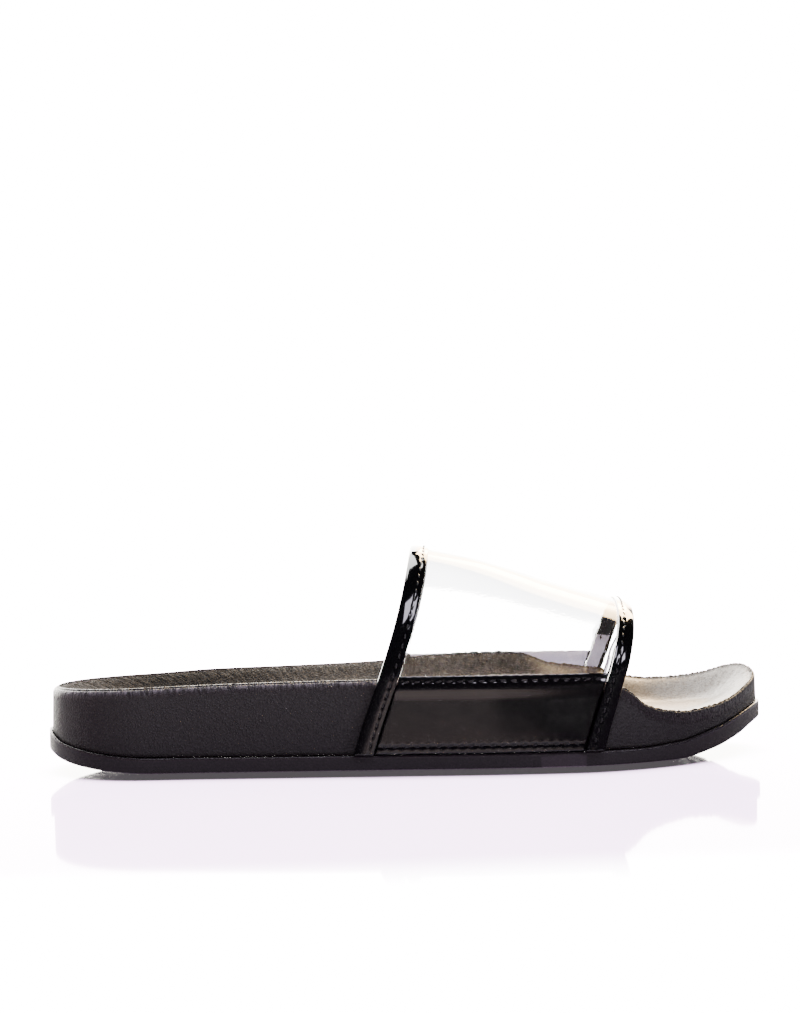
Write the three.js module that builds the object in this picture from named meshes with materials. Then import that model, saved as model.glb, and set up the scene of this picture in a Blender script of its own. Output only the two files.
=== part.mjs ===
// A right-foot pool slide: a moulded footbed on a cupped outsole, under one strap made of a clear
// vamp, a patent panel low on each side and a patent binding folded over each edge.
// Millimetres, +X to the toe, +Y to the big-toe side, +Z up, standing on its sole.

import * as THREE from 'three';

// Driving dimensions of the sole
const length = 261.4; // heel to toe, at the outsole's lip
const ballWidth = 94.5;
const heelWidth = 69.4;
const heelRound = 36; // how far the heel's round end reaches forward
const lateralToeRound = 76;
const medialToeRound = 62;
const tipShift = 13.9; // the toe's tip lies this far to the big-toe side
const edgeHeight = 2.5; // the outsole's lower edge above the ground
const bandHeight = 5; // height of the outsole's side band
const heelLift = 6.4; // how far the lower edge rises round the heel
const toeSpring = 10; // how far it rises to the tip
const crownRun = 19; // the underside slopes down from its edge to the flat tread over this width
const lipRound = 0.6;

// Driving dimensions of the footbed
const ledge = 1.1; // the lip stands this far outside the footbed's wall
const seatInset = 7; // from the ledge in to the level part of the seat
const wallLean = 0.018; // inward lean of the wall for each millimetre of rise
const rimHeight = 34; // rim above the ground beside the strap
const rimRound = 2.4;
const cupRun = 19; // from the rim in to the footbed's floor
const cupStart = -3.8; // where its slope would start, outside the rim
const cupPower = 1.2; // above one, the slope stays high for longer near the rim
const floorHeight = 27; // floor above the ground under the strap
const archRise = 3.5; // how much higher the floor is beside the arch

// Driving dimensions of the strap
const strapRear = 117.8; // rear edge from the heel, midway across and at rim height
const strapFront = 204.1; // front edge, the same way
const rearSkew = 4.4; // the big-toe side lies this far forward, the other side this far back
const frontSkew = 5.4;
const strapLean = 0.285; // forward lean for each millimetre of rise
const rearBow = 2.2; // each edge bows forward this far between its feet and its top
const frontBow = 1.3;
const bowPower = 2.2;
const lateralSpring = 34.2; // height where the strap leaves the wall and starts its arch
const medialSpring = 36.2;
const rearCrest = 76.2; // inner face of the strap at its top, at the rear edge
const frontCrest = 54; // and at the front edge
const shoulder = 0.88; // below one, the arch has fuller shoulders than an ellipse
const sheet = 1; // clear vamp
const panel = 1.6; // patent panel
const panelLap = 1; // the panel where it covers the vamp's edge
const lapHeight = 6; // how far down that reaches from the panel's top
const lapStep = 1.8; // rise over which the panel steps out for it
const tuck = 4.5; // how far down the vamp reaches behind the panel
const rearBindingWidth = 6.9;
const frontBindingWidth = 6.6;
const bindingThickness = 2.4;
const bindingProud = 0.6; // the binding over the panel
const bindingEdge = 0.3; // softening of its inner edge
const slotDepth = 2.4; // the vamp's edge lies in the binding this deep
const slotTrace = 0.2; // what is left of that slot beside the panels
const liftRun = 8; // rise over which the vamp moves out to the middle of the binding
const slotRun = [6, 14]; // rise over which the slot opens
const crown = 0.3; // how far the binding's outer face is domed
const clearance = 0.3; // between pieces that meet

// Share of the way over the strap that lies on each wall
const wallShare = 0.16;

// Mesh density
const stationsPerSide = 44;
const strapStations = 52;
const sheetSteps = 7;
const panelSteps = 12;
const foldSteps = 6;
const seatPortion = 0.6; // rings inside the seat and the tread lie this share of the way in
const dishPortions = [0.05, 0.12, 0.2, 0.29, 0.39, 0.5, 0.65, 0.83];

// Half-widths from heelWidth / 2 (0) to ballWidth / 2 (1), at shares of the length
const planRows = [
  { at: 0, lateral: 0, medial: -0.04 },
  { at: 0.14, lateral: 0.08, medial: -0.06 },
  { at: 0.34, lateral: 0.48, medial: -0.02 },
  { at: 0.47, lateral: 0.77, medial: 0.1 },
  { at: 0.6, lateral: 1.06, medial: 0.44 },
  { at: 0.68, lateral: 1.12, medial: 0.76 },
  { at: 0.76, lateral: 1.1, medial: 0.9 },
  { at: 1, lateral: 1.1, medial: 0.88 },
];

// The outsole's lower edge rises by heel * heelLift + toe * toeSpring; band is a share of bandHeight
const soleRows = [
  { at: 0, heel: 1, toe: 0, band: 1.42 },
  { at: 0.02, heel: 0.61, toe: 0, band: 1.2 },
  { at: 0.04, heel: 0.4, toe: 0, band: 1.16 },
  { at: 0.09, heel: 0.11, toe: 0, band: 1.08 },
  { at: 0.14, heel: 0, toe: 0, band: 1.05 },
  { at: 0.4, heel: 0, toe: 0, band: 1 },
  { at: 0.78, heel: 0, toe: 0, band: 1 },
  { at: 0.84, heel: 0, toe: 0, band: 1.2 },
  { at: 0.9, heel: 0, toe: 0.24, band: 1.36 },
  { at: 0.94, heel: 0, toe: 0.54, band: 1.36 },
  { at: 0.98, heel: 0, toe: 0.92, band: 1.2 },
  { at: 1, heel: 0, toe: 1, band: 1.15 },
];

// Rim heights as shares of rimHeight, floor as a share of floorHeight, round as a share of rimRound
const topRows = [
  { at: 0, lateral: 0.9, medial: 0.9, floor: 0.93, round: 1, arch: 0 },
  { at: 0.13, lateral: 0.93, medial: 0.93, floor: 0.93, round: 1, arch: 0 },
  { at: 0.23, lateral: 0.953, medial: 0.97, floor: 0.95, round: 1, arch: 0.2 },
  { at: 0.34, lateral: 0.97, medial: 0.985, floor: 0.98, round: 1, arch: 0.7 },
  { at: 0.46, lateral: 0.98, medial: 1.01, floor: 1, round: 1, arch: 1 },
  { at: 0.53, lateral: 0.99, medial: 1.06, floor: 1, round: 1, arch: 0.95 },
  { at: 0.6, lateral: 1, medial: 1.075, floor: 0.98, round: 1, arch: 0.8 },
  { at: 0.665, lateral: 0.99, medial: 1.065, floor: 0.94, round: 0.9, arch: 0.4 },
  { at: 0.715, lateral: 0.955, medial: 0.925, floor: 0.88, round: 0.8, arch: 0.1 },
  { at: 0.765, lateral: 0.826, medial: 0.868, floor: 0.78, round: 0.5, arch: 0 },
  { at: 0.796, lateral: 0.65, medial: 0.825, floor: 0.69, round: 0.4, arch: 0 },
  { at: 0.82, lateral: 0.585, medial: 0.77, floor: 0.64, round: 0.4, arch: 0 },
  { at: 0.86, lateral: 0.553, medial: 0.727, floor: 0.615, round: 0.4, arch: 0 },
  { at: 0.903, lateral: 0.582, medial: 0.745, floor: 0.65, round: 0.4, arch: 0 },
  { at: 0.937, lateral: 0.644, medial: 0.79, floor: 0.71, round: 0.4, arch: 0 },
  { at: 0.965, lateral: 0.73, medial: 0.87, floor: 0.8, round: 0.4, arch: 0 },
  { at: 0.985, lateral: 0.79, medial: 0.905, floor: 0.86, round: 0.4, arch: 0 },
  { at: 1, lateral: 0.84, medial: 0.87, floor: 0.93, round: 0.4, arch: 0 },
];

const crestRows = [
  { at: 0, drop: 0 },
  { at: 0.3, drop: 0.24 },
  { at: 0.65, drop: 0.64 },
  { at: 1, drop: 1 },
];

const heelPower = 2.1;
const toePower = { lateral: 1.6, medial: 2.2 };
const toeRound = { lateral: lateralToeRound, medial: medialToeRound };
const spring = { lateral: lateralSpring, medial: medialSpring };
const outward = { lateral: -1, medial: 1 };
const bindingWidth = { rear: rearBindingWidth, front: frontBindingWidth };
const strapLength = strapFront - strapRear;

// A distance in from one of the strap's edges, measured from its rear edge.
const alongFrom = (edge, distance) => (edge === 'rear' ? distance : strapLength - distance);

const lerp = THREE.MathUtils.lerp;
const smoothstep = THREE.MathUtils.smoothstep;
const clamp = THREE.MathUtils.clamp;

// A cubic through one column of a table that never overshoots, so level stretches stay level.
function curve(rows, column) {
  const gap = (k) => rows[k + 1].at - rows[k].at;
  const secant = rows.slice(1).map((row, k) => (row[column] - rows[k][column]) / gap(k));
  const slope = rows.map((row, k) => {
    const before = secant[Math.max(k - 1, 0)];
    const after = secant[Math.min(k, secant.length - 1)];
    return before * after > 0 ? (2 * before * after) / (before + after) : 0;
  });
  return (place) => {
    const at = clamp(place, 0, 1);
    const next = rows.findIndex((row, k) => k > 0 && at <= row.at);
    const k = next - 1;
    const t = (at - rows[k].at) / gap(k);
    const ends = lerp(rows[k][column], rows[next][column], t * t * (3 - 2 * t));
    return ends + gap(k) * t * (1 - t) * ((1 - t) * slope[k] - t * slope[next]);
  };
}

const widthShare = {
  lateral: curve(planRows, 'lateral'),
  medial: curve(planRows, 'medial'),
};
const rimShare = {
  lateral: curve(topRows, 'lateral'),
  medial: curve(topRows, 'medial'),
};
const floorShare = curve(topRows, 'floor');
const roundShare = curve(topRows, 'round');
const archShare = curve(topRows, 'arch');
const heelShare = curve(soleRows, 'heel');
const toeShare = curve(soleRows, 'toe');
const bandShare = curve(soleRows, 'band');
const crestDrop = curve(crestRows, 'drop');

// One at full width, and a superellipse quarter down to zero at the end.
function roundEnd(distance, reach, power) {
  const t = 1 - clamp(distance / reach, 0, 1);
  return (1 - t ** power) ** (1 / power);
}

// The lip's plan outline on one side.
function outlineY(side, x) {
  const half = lerp(heelWidth / 2, ballWidth / 2, widthShare[side](x / length));
  const heel = roundEnd(x, heelRound, heelPower);
  const toe = roundEnd(length - x, toeRound[side], toePower[side]);
  return tipShift + (outward[side] * half * heel - tipShift) * toe;
}

const liftAt = (x) => heelLift * heelShare(x / length) + toeSpring * toeShare(x / length);
const edgeAt = (x) => edgeHeight + liftAt(x);
const lipAt = (x) => edgeAt(x) + bandHeight * bandShare(x / length);

// How far across the shoe a point lies, from 0 at the lateral lip to 1 at the medial one.
function acrossShoe(x, y) {
  const inside = clamp(x, 0.001, length - 0.001);
  const low = outlineY('lateral', inside);
  const high = outlineY('medial', inside);
  return clamp((y - low) / (high - low), 0, 1);
}

function rimAt(x, y) {
  const blend = smoothstep(acrossShoe(x, y), 0, 1);
  return rimHeight * lerp(rimShare.lateral(x / length), rimShare.medial(x / length), blend);
}

// The footbed's top, a given distance in from its rounded rim.
function topAt(x, y, distance) {
  const floor = floorHeight * floorShare(x / length);
  const arch = archRise * archShare(x / length) * acrossShoe(x, y) ** 2;
  return lerp(rimAt(x, y), floor + arch, smoothstep(distance, cupStart, cupRun) ** cupPower);
}

// Stations round the lip: heel, lateral side, tip, medial side, with the inward direction at each.
function makeStations() {
  const count = 2 * stationsPerSide;
  const stations = [];
  for (let i = 0; i < count; i += 1) {
    const side = i <= stationsPerSide ? 'lateral' : 'medial';
    const x = (length * (1 - Math.cos((Math.PI * i) / stationsPerSide))) / 2;
    stations.push({ x, y: outlineY(side, x) });
  }
  stations.forEach((station, i) => {
    const before = stations[(i + count - 1) % count];
    const after = stations[(i + 1) % count];
    const along = new THREE.Vector2(after.x - before.x, after.y - before.y).normalize();
    station.inward = new THREE.Vector2(-along.y, along.x);
  });
  return stations;
}

const stations = makeStations();

// One ring of points, moved in from the lip by inset(x) and set at height(x, y).
function ring(inset, height) {
  return stations.map((station) => {
    const shift = inset(station.x, station.y);
    const x = station.x + station.inward.x * shift;
    const y = station.y + station.inward.y * shift;
    return new THREE.Vector3(x, y, height(x, y));
  });
}

// A ring moved a share of the way from another one to the line along the middle of the shoe.
function innerRing(outer, portion, height) {
  const start = heelWidth / 2;
  const end = length - start;
  return outer.map((point) => {
    const x = lerp(start, end, clamp(point.x / length, 0, 1));
    const y = (outlineY('lateral', x) + outlineY('medial', x)) / 2;
    const inside = new THREE.Vector3(lerp(point.x, x, portion), lerp(point.y, y, portion), 0);
    const distance = portion * Math.hypot(point.x - x, point.y - y);
    inside.z = height(inside.x, inside.y, distance);
    return inside;
  });
}

function geometryOf(points, triangles) {
  const geometry = new THREE.BufferGeometry();
  geometry.setAttribute(
    'position',
    new THREE.Float32BufferAttribute(points.flatMap((p) => [p.x, p.y, p.z]), 3),
  );
  geometry.setIndex(triangles);
  geometry.computeVertexNormals();
  return geometry;
}

// A body through rings that run from its bottom's middle, out, up and back in over its top. Each
// quad is split along its shorter diagonal, so two bodies that share rings have the same facets.
function ringBody(rings) {
  const count = rings[0].length;
  const half = count / 2;
  const points = rings.flat();
  const triangles = [];
  for (let r = 0; r + 1 < rings.length; r += 1) {
    for (let i = 0; i < count; i += 1) {
      const j = (i + 1) % count;
      const [a, b, c, d] = [r * count + i, r * count + j, (r + 1) * count + j, (r + 1) * count + i];
      const rising = points[a].distanceTo(points[c]) <= points[b].distanceTo(points[d]);
      triangles.push(...(rising ? [a, b, c, a, c, d] : [a, b, d, b, c, d]));
    }
  }
  const closing = (base, up) => {
    for (let i = 0; i < half; i += 1) {
      const near = [base + i, base + i + 1];
      const far = [base + ((count - i) % count), base + count - i - 1];
      const faces = [];
      if (i + 1 < half) faces.push([near[0], near[1], far[1]]);
      if (i > 0) faces.push([near[0], far[1], far[0]]);
      if (i + 1 === half) faces[0] = [near[0], near[1], far[0]];
      faces.forEach((face) => triangles.push(...(up ? face : face.reverse())));
    }
  };
  closing(0, false);
  closing((rings.length - 1) * count, true);
  return geometryOf(points, triangles);
}

function makeOutsole() {
  const level = (inset) => () => inset;
  const under = (inset) => ring(
    level(inset),
    (x) => liftAt(x) + edgeHeight * (1 - inset / crownRun),
  );
  const tread = under(crownRun);
  const shelf = ring(level(ledge + seatInset), lipAt);
  return ringBody([
    innerRing(tread, seatPortion, liftAt),
    tread,
    under(crownRun * 0.6),
    under(crownRun * 0.25),
    under(lipRound),
    ring(level(0), (x) => edgeAt(x) + lipRound * 0.6),
    ring(level(0), (x) => lipAt(x) - lipRound),
    ring(level(lipRound * 0.3), (x) => lipAt(x) - lipRound * 0.3),
    ring(level(lipRound), lipAt),
    ring(level(ledge), lipAt),
    shelf,
    innerRing(shelf, seatPortion, lipAt),
  ]);
}

// How far in from the lip the footbed's wall stands at a height.
const wallInset = (x, z) => ledge + wallLean * (z - lipAt(x));

function makeFootbed() {
  const seat = (x) => lipAt(x) + clearance;
  const round = (x) => rimRound * roundShare(x / length);
  const shoulderRing = (angle) => ring(
    (x, y) => wallInset(x, rimAt(x, y)) + round(x) * (1 - Math.cos(angle)),
    (x, y) => rimAt(x, y) - round(x) * (1 - Math.sin(angle)),
  );
  const base = ring(() => ledge + seatInset, seat);
  const rim = shoulderRing(Math.PI / 2);
  return ringBody([
    innerRing(base, seatPortion, seat),
    base,
    ring(() => ledge, seat),
    shoulderRing(0),
    shoulderRing(Math.PI / 6),
    shoulderRing(Math.PI / 3),
    rim,
    ...dishPortions.map((portion) => innerRing(rim, portion, topAt)),
  ]);
}

// The footbed's wall at one side, which the strap lies on.
function wallY(side, x, z) {
  const step = 0.5;
  const slope = (outlineY(side, x + step) - outlineY(side, x - step)) / (2 * step);
  return outlineY(side, x) - outward[side] * wallInset(x, z) * Math.hypot(1, slope);
}

// A point on the strap's base surface: along is the distance from the rear edge, and over runs
// from 0 at the lateral foot, up the wall, over the arch and down to 1 at the medial foot.
function strapPoint(along, over) {
  const forward = along / strapLength;
  const climb = Math.sin(Math.PI * clamp(2 * Math.min(over, 1 - over), 0, 1)) ** bowPower;
  const start = strapRear + along + lerp(rearBow, frontBow, forward) * climb;
  const skew = lerp(rearSkew, frontSkew, forward);
  const place = (turn, z) => start + skew * turn + strapLean * (z - rimHeight);
  const onWall = (side, rise) => {
    const foot = lipAt(place(outward[side], lipAt(start))) + clearance;
    const z = lerp(foot, spring[side], rise);
    const x = place(outward[side], z);
    return new THREE.Vector3(x, wallY(side, x, z), z);
  };
  if (over <= wallShare) return onWall('lateral', over / wallShare);
  if (over >= 1 - wallShare) return onWall('medial', (1 - over) / wallShare);
  const angle = (Math.PI * (over - wallShare)) / (1 - 2 * wallShare);
  const turn = -Math.sign(Math.cos(angle)) * Math.abs(Math.cos(angle)) ** shoulder;
  const low = onWall('lateral', 1);
  const high = onWall('medial', 1);
  const base = lerp(low.z, high.z, (1 + turn) / 2);
  const crest = lerp(rearCrest, frontCrest, crestDrop(forward));
  const z = base + (crest - base) * Math.sin(angle);
  return new THREE.Vector3(place(turn, z), lerp(low.y, high.y, (1 + turn) / 2), z);
}

// The same, moved outwards by an offset.
function strapSurface(along, over, offset) {
  const [step, turn] = [0.5, 0.004];
  const forward = strapPoint(along + step, over).sub(strapPoint(along - step, over));
  const up = strapPoint(along, over + turn).sub(strapPoint(along, over - turn));
  const normal = forward.cross(up).normalize();
  return strapPoint(along, over).addScaledVector(normal, offset);
}

// How far the strap has risen off the wall, which sets how its layers lie.
function riseAt(along, over) {
  const side = over < 0.5 ? 'lateral' : 'medial';
  const onWall = over <= wallShare || over >= 1 - wallShare;
  return onWall ? 0 : strapPoint(along, over).z - spring[side];
}

const freeOf = (rise) => smoothstep(rise, 0, liftRun);
const slottedOf = (rise) => smoothstep(rise, ...slotRun);
const sheetBase = (rise) => lerp(clearance, clearance + (bindingThickness - sheet) / 2, freeOf(rise));
const lapBase = 2 * clearance + sheet;
const lapTop = lapBase + panelLap;
const slotAt = (rise) => lerp(slotTrace, slotDepth, slottedOf(rise));

// A sheet-like body between two offset functions, on a grid of along and over values.
function slab(rows, outer, inner) {
  const [high, wide] = [rows.length, rows[0].length];
  const points = [outer, inner].flatMap((offset) => rows.flatMap((row) => (
    row.map(({ along, over }) => strapSurface(along, over, offset(along, over)))
  )));
  const at = (layer, r, c) => (layer * high + r) * wide + c;
  const triangles = [];
  const quad = (a, b, c, d) => triangles.push(a, b, c, a, c, d);
  for (let r = 0; r + 1 < high; r += 1) {
    for (let c = 0; c + 1 < wide; c += 1) {
      quad(at(0, r, c), at(0, r, c + 1), at(0, r + 1, c + 1), at(0, r + 1, c));
      quad(at(1, r, c), at(1, r + 1, c), at(1, r + 1, c + 1), at(1, r, c + 1));
    }
    quad(at(0, r, 0), at(0, r + 1, 0), at(1, r + 1, 0), at(1, r, 0));
    quad(at(0, r + 1, wide - 1), at(0, r, wide - 1), at(1, r, wide - 1), at(1, r + 1, wide - 1));
  }
  for (let c = 0; c + 1 < wide; c += 1) {
    quad(at(0, 0, c + 1), at(0, 0, c), at(1, 0, c), at(1, 0, c + 1));
    quad(at(0, high - 1, c), at(0, high - 1, c + 1), at(1, high - 1, c + 1), at(1, high - 1, c));
  }
  return geometryOf(points, triangles);
}

const evenly = (from, to, steps) => Array.from(
  { length: steps + 1 },
  (unused, k) => lerp(from, to, k / steps),
);

function makeVamp() {
  const tuckShare = (side) => {
    const foot = lipAt(strapRear + strapLength / 2);
    return wallShare * (1 - tuck / (spring[side] - foot));
  };
  const rows = evenly(tuckShare('lateral'), 1 - tuckShare('medial'), strapStations).map((over) => {
    const edge = (side) => {
      const inner = alongFrom(side, bindingWidth[side]);
      const slot = slottedOf(riseAt(inner, over)) * slotDepth;
      return alongFrom(side, bindingWidth[side] + clearance - slot);
    };
    const [rear, front] = [edge('rear'), edge('front')];
    return evenly(rear, front, sheetSteps).map((along) => ({ along, over }));
  });
  const inner = (along, over) => sheetBase(riseAt(along, over));
  return slab(rows, (along, over) => inner(along, over) + sheet, inner);
}

function makePanel(side) {
  const foot = lipAt(strapRear + strapLength / 2);
  const lapShare = 1 - lapHeight / (spring[side] - foot);
  const stepShare = lapStep / 2 / (spring[side] - foot);
  const rises = [
    ...evenly(0, lapShare - 2 * stepShare, 5),
    lapShare,
    lapShare + stepShare,
    ...evenly(lapShare + 2 * stepShare, 1, 2),
  ];
  const rows = rises.map((rise) => {
    const over = side === 'lateral' ? rise * wallShare : 1 - rise * wallShare;
    const rear = alongFrom('rear', bindingWidth.rear + clearance);
    const front = alongFrom('front', bindingWidth.front + clearance);
    return evenly(rear, front, panelSteps).map((along) => ({ along, over }));
  });
  if (side === 'medial') rows.reverse();
  const riseOf = (over) => Math.min(over, 1 - over) / wallShare;
  const lapped = (over) => smoothstep(riseOf(over), lapShare - stepShare, lapShare + stepShare);
  const outer = (along, over) => lerp(clearance + panel, lapTop, lapped(over));
  const inner = (along, over) => lerp(clearance, lapBase, lapped(over));
  return slab(rows, outer, inner);
}

// The binding's section: a strip folded round its outer edge, with a slot for the vamp in the
// other one. Across is measured in from the strap's edge, and out is the offset from the base.
function bindingSection(width, rise) {
  const low = clearance;
  const high = lerp(lapTop + bindingProud, clearance + bindingThickness, freeOf(rise));
  const fold = (high - low) / 2;
  const slotLow = lerp(low + fold * 0.6, sheetBase(rise) - clearance, slottedOf(rise));
  const slotHigh = lerp(low + fold * 1.4, sheetBase(rise) + sheet + clearance, slottedOf(rise));
  const floor = width - slotAt(rise);
  const arc = evenly(0.5, -0.5, foldSteps).map((turn) => ({
    across: fold * (1 - Math.cos(turn * Math.PI)),
    out: low + fold + fold * Math.sin(turn * Math.PI),
  }));
  return [
    { across: width, out: slotHigh },
    { across: width, out: high - bindingEdge / 2 },
    { across: width - 2 * bindingEdge, out: high },
    { across: (width + fold) / 2, out: high + crown },
    ...arc,
    { across: width - bindingEdge / 2, out: low },
    { across: width, out: slotLow },
    { across: floor, out: slotLow },
    { across: floor, out: slotHigh },
  ];
}

function makeBinding(edge) {
  const overs = evenly(0, 1, strapStations);
  const width = bindingWidth[edge];
  const sections = overs.map((over) => (
    bindingSection(width, riseAt(alongFrom(edge, width), over))
  ));
  const wide = sections[0].length;
  const points = sections.flatMap((section, r) => section.map(({ across, out }) => (
    strapSurface(alongFrom(edge, across), overs[r], out)
  )));
  const outline = sections[0].map(({ across, out }) => new THREE.Vector2(across, out));
  const cap = THREE.ShapeUtils.triangulateShape(outline, []);
  const last = (sections.length - 1) * wide;
  const triangles = [];
  const add = (a, b, c) => triangles.push(...(edge === 'rear' ? [a, b, c] : [c, b, a]));
  for (let r = 0; r + 1 < sections.length; r += 1) {
    for (let c = 0; c < wide; c += 1) {
      const d = (c + 1) % wide;
      add(r * wide + c, (r + 1) * wide + d, r * wide + d);
      add(r * wide + c, (r + 1) * wide + c, (r + 1) * wide + d);
    }
  }
  cap.forEach(([a, b, c]) => {
    add(a, b, c);
    add(c + last, b + last, a + last);
  });
  return geometryOf(points, triangles);
}

const finishes = {
  outsole: { color: 0x171617, roughness: 0.62 },
  footbed: { color: 0x242122, roughness: 0.78 },
  clear: { color: 0xf4f5f7, roughness: 0.06, transparent: true, opacity: 0.25 },
  patent: { color: 0x0c0c0e, roughness: 0.1 },
};

function named(name, geometry, finish) {
  const material = new THREE.MeshStandardMaterial({ metalness: 0, ...finishes[finish] });
  const mesh = new THREE.Mesh(geometry, material);
  mesh.name = name;
  return mesh;
}

const strap = new THREE.Group();
strap.add(
  named('vamp_clear', makeVamp(), 'clear'),
  named('side_panel_lateral', makePanel('lateral'), 'patent'),
  named('side_panel_medial', makePanel('medial'), 'patent'),
  named('binding_rear', makeBinding('rear'), 'patent'),
  named('binding_front', makeBinding('front'), 'patent'),
);

const shoe = new THREE.Group();
shoe.add(
  named('outsole', makeOutsole(), 'outsole'),
  named('footbed', makeFootbed(), 'footbed'),
  strap,
);

// The origin goes to the middle of the bounding box's bottom.
const box = new THREE.Box3().setFromObject(shoe);
const middle = box.getCenter(new THREE.Vector3());
shoe.position.set(-middle.x, -middle.y, -box.min.z);

const part = new THREE.Group();
part.add(shoe);

export default part;
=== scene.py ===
"""Looks of a right-foot pool slide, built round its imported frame.

Inside the classes lengths are millimetres, measured from the heel's rearmost point on the ground:
+X to the toe, +Y to the big-toe side, +Z up. Place turns them into the frame's metres.
"""

from __future__ import annotations

import logging
import math
from collections.abc import Callable, Sequence
from dataclasses import dataclass, field
from enum import Enum
from typing import NamedTuple

import bpy
import numpy as np
from mathutils import Matrix, Vector

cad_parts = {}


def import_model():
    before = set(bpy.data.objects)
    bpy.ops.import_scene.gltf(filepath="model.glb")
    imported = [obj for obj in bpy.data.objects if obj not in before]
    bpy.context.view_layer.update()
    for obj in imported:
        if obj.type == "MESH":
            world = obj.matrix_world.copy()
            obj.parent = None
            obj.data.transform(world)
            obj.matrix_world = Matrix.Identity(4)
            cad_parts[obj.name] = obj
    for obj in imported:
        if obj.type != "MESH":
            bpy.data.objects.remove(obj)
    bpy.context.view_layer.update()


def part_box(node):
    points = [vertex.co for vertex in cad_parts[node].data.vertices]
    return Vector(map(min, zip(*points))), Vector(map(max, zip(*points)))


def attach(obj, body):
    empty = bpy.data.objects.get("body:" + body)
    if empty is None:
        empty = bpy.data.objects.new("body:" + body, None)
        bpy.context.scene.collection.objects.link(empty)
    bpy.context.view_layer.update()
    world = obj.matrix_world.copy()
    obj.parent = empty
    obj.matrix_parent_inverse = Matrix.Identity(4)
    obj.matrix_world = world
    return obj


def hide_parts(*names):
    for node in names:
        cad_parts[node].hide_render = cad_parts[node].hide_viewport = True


LOG = logging.getLogger("slide")
MM = 0.001
BODY = "root"
LINE_STEPS = 2000
LENGTH_STEPS = 1000

Array = np.ndarray
Colour = tuple[float, float, float, float]
Span = tuple[float, float]
Piece = bpy.types.Object
Material = bpy.types.Material
Socket = bpy.types.NodeSocket
Heights = Callable[[Array, Array], Array]


class PlanRow(NamedTuple):
    """Half-widths from half the heel's width (0) to half the ball's (1), at a share of the length."""

    at: float
    lateral: float
    medial: float


class SoleRow(NamedTuple):
    """Shares of the heel's lift, the toe's spring and the band's height."""

    at: float
    heel: float
    toe: float
    band: float


class TopRow(NamedTuple):
    """Rims as shares of the rim's height, and the floor, rim radius and arch as shares of theirs."""

    at: float
    lateral: float
    medial: float
    floor: float
    round: float
    arch: float


class CrestRow(NamedTuple):
    """How far the strap's crest has dropped from its rear edge to its front one."""

    at: float
    drop: float


PLAN_ROWS = (
    PlanRow(0, 0, -0.04),
    PlanRow(0.14, 0.08, -0.06),
    PlanRow(0.34, 0.48, -0.02),
    PlanRow(0.47, 0.77, 0.1),
    PlanRow(0.6, 1.06, 0.44),
    PlanRow(0.68, 1.12, 0.76),
    PlanRow(0.76, 1.1, 0.9),
    PlanRow(1, 1.1, 0.88),
)
SOLE_ROWS = (
    SoleRow(0, 1, 0, 1.42),
    SoleRow(0.02, 0.61, 0, 1.2),
    SoleRow(0.04, 0.4, 0, 1.16),
    SoleRow(0.09, 0.11, 0, 1.08),
    SoleRow(0.14, 0, 0, 1.05),
    SoleRow(0.4, 0, 0, 1),
    SoleRow(0.78, 0, 0, 1),
    SoleRow(0.84, 0, 0, 1.2),
    SoleRow(0.9, 0, 0.24, 1.36),
    SoleRow(0.94, 0, 0.54, 1.36),
    SoleRow(0.98, 0, 0.92, 1.2),
    SoleRow(1, 0, 1, 1.15),
)
TOP_ROWS = (
    TopRow(0, 0.9, 0.9, 0.93, 1, 0),
    TopRow(0.13, 0.93, 0.93, 0.93, 1, 0),
    TopRow(0.23, 0.953, 0.97, 0.95, 1, 0.2),
    TopRow(0.34, 0.97, 0.985, 0.98, 1, 0.7),
    TopRow(0.46, 0.98, 1.01, 1, 1, 1),
    TopRow(0.53, 0.99, 1.06, 1, 1, 0.95),
    TopRow(0.6, 1, 1.075, 0.98, 1, 0.8),
    TopRow(0.665, 0.99, 1.065, 0.94, 0.9, 0.4),
    TopRow(0.715, 0.955, 0.925, 0.88, 0.8, 0.1),
    TopRow(0.765, 0.826, 0.868, 0.78, 0.5, 0),
    TopRow(0.796, 0.65, 0.825, 0.69, 0.4, 0),
    TopRow(0.82, 0.585, 0.77, 0.64, 0.4, 0),
    TopRow(0.86, 0.553, 0.727, 0.615, 0.4, 0),
    TopRow(0.903, 0.582, 0.745, 0.65, 0.4, 0),
    TopRow(0.937, 0.644, 0.79, 0.71, 0.4, 0),
    TopRow(0.965, 0.73, 0.87, 0.8, 0.4, 0),
    TopRow(0.985, 0.79, 0.905, 0.86, 0.4, 0),
    TopRow(1, 0.84, 0.87, 0.93, 0.4, 0),
)
CREST_ROWS = (CrestRow(0, 0), CrestRow(0.3, 0.24), CrestRow(0.65, 0.64), CrestRow(1, 1))


class Side(Enum):
    """A side of the shoe, with the direction across that points out of it."""

    LATERAL = -1
    MEDIAL = 1

    @property
    def column(self) -> str:
        """The side's column in the tables."""
        return self.name.lower()


class Edge(Enum):
    """An edge of the strap."""

    REAR = "rear"
    FRONT = "front"


class Pair(NamedTuple):
    """One size for each side."""

    lateral: float
    medial: float

    def of(self, side: Side) -> float:
        """The size at a side."""
        return getattr(self, side.column)


def lerp(start: Array | float, end: Array | float, share: Array | float) -> Array:
    """The value a share of the way from start to end."""
    return start + (end - start) * share


def smooth(value: Array, start: float, end: float) -> Array:
    """Zero before start, one after end, and 3t^2 - 2t^3 between them."""
    t = np.clip((value - start) / (end - start), 0, 1)
    return t * t * (3 - 2 * t)


def bump(value: Array, width: float) -> Array:
    """One at zero, falling off as exp(-(value / width)^2)."""
    return np.exp(-((value / width) ** 2))


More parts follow.
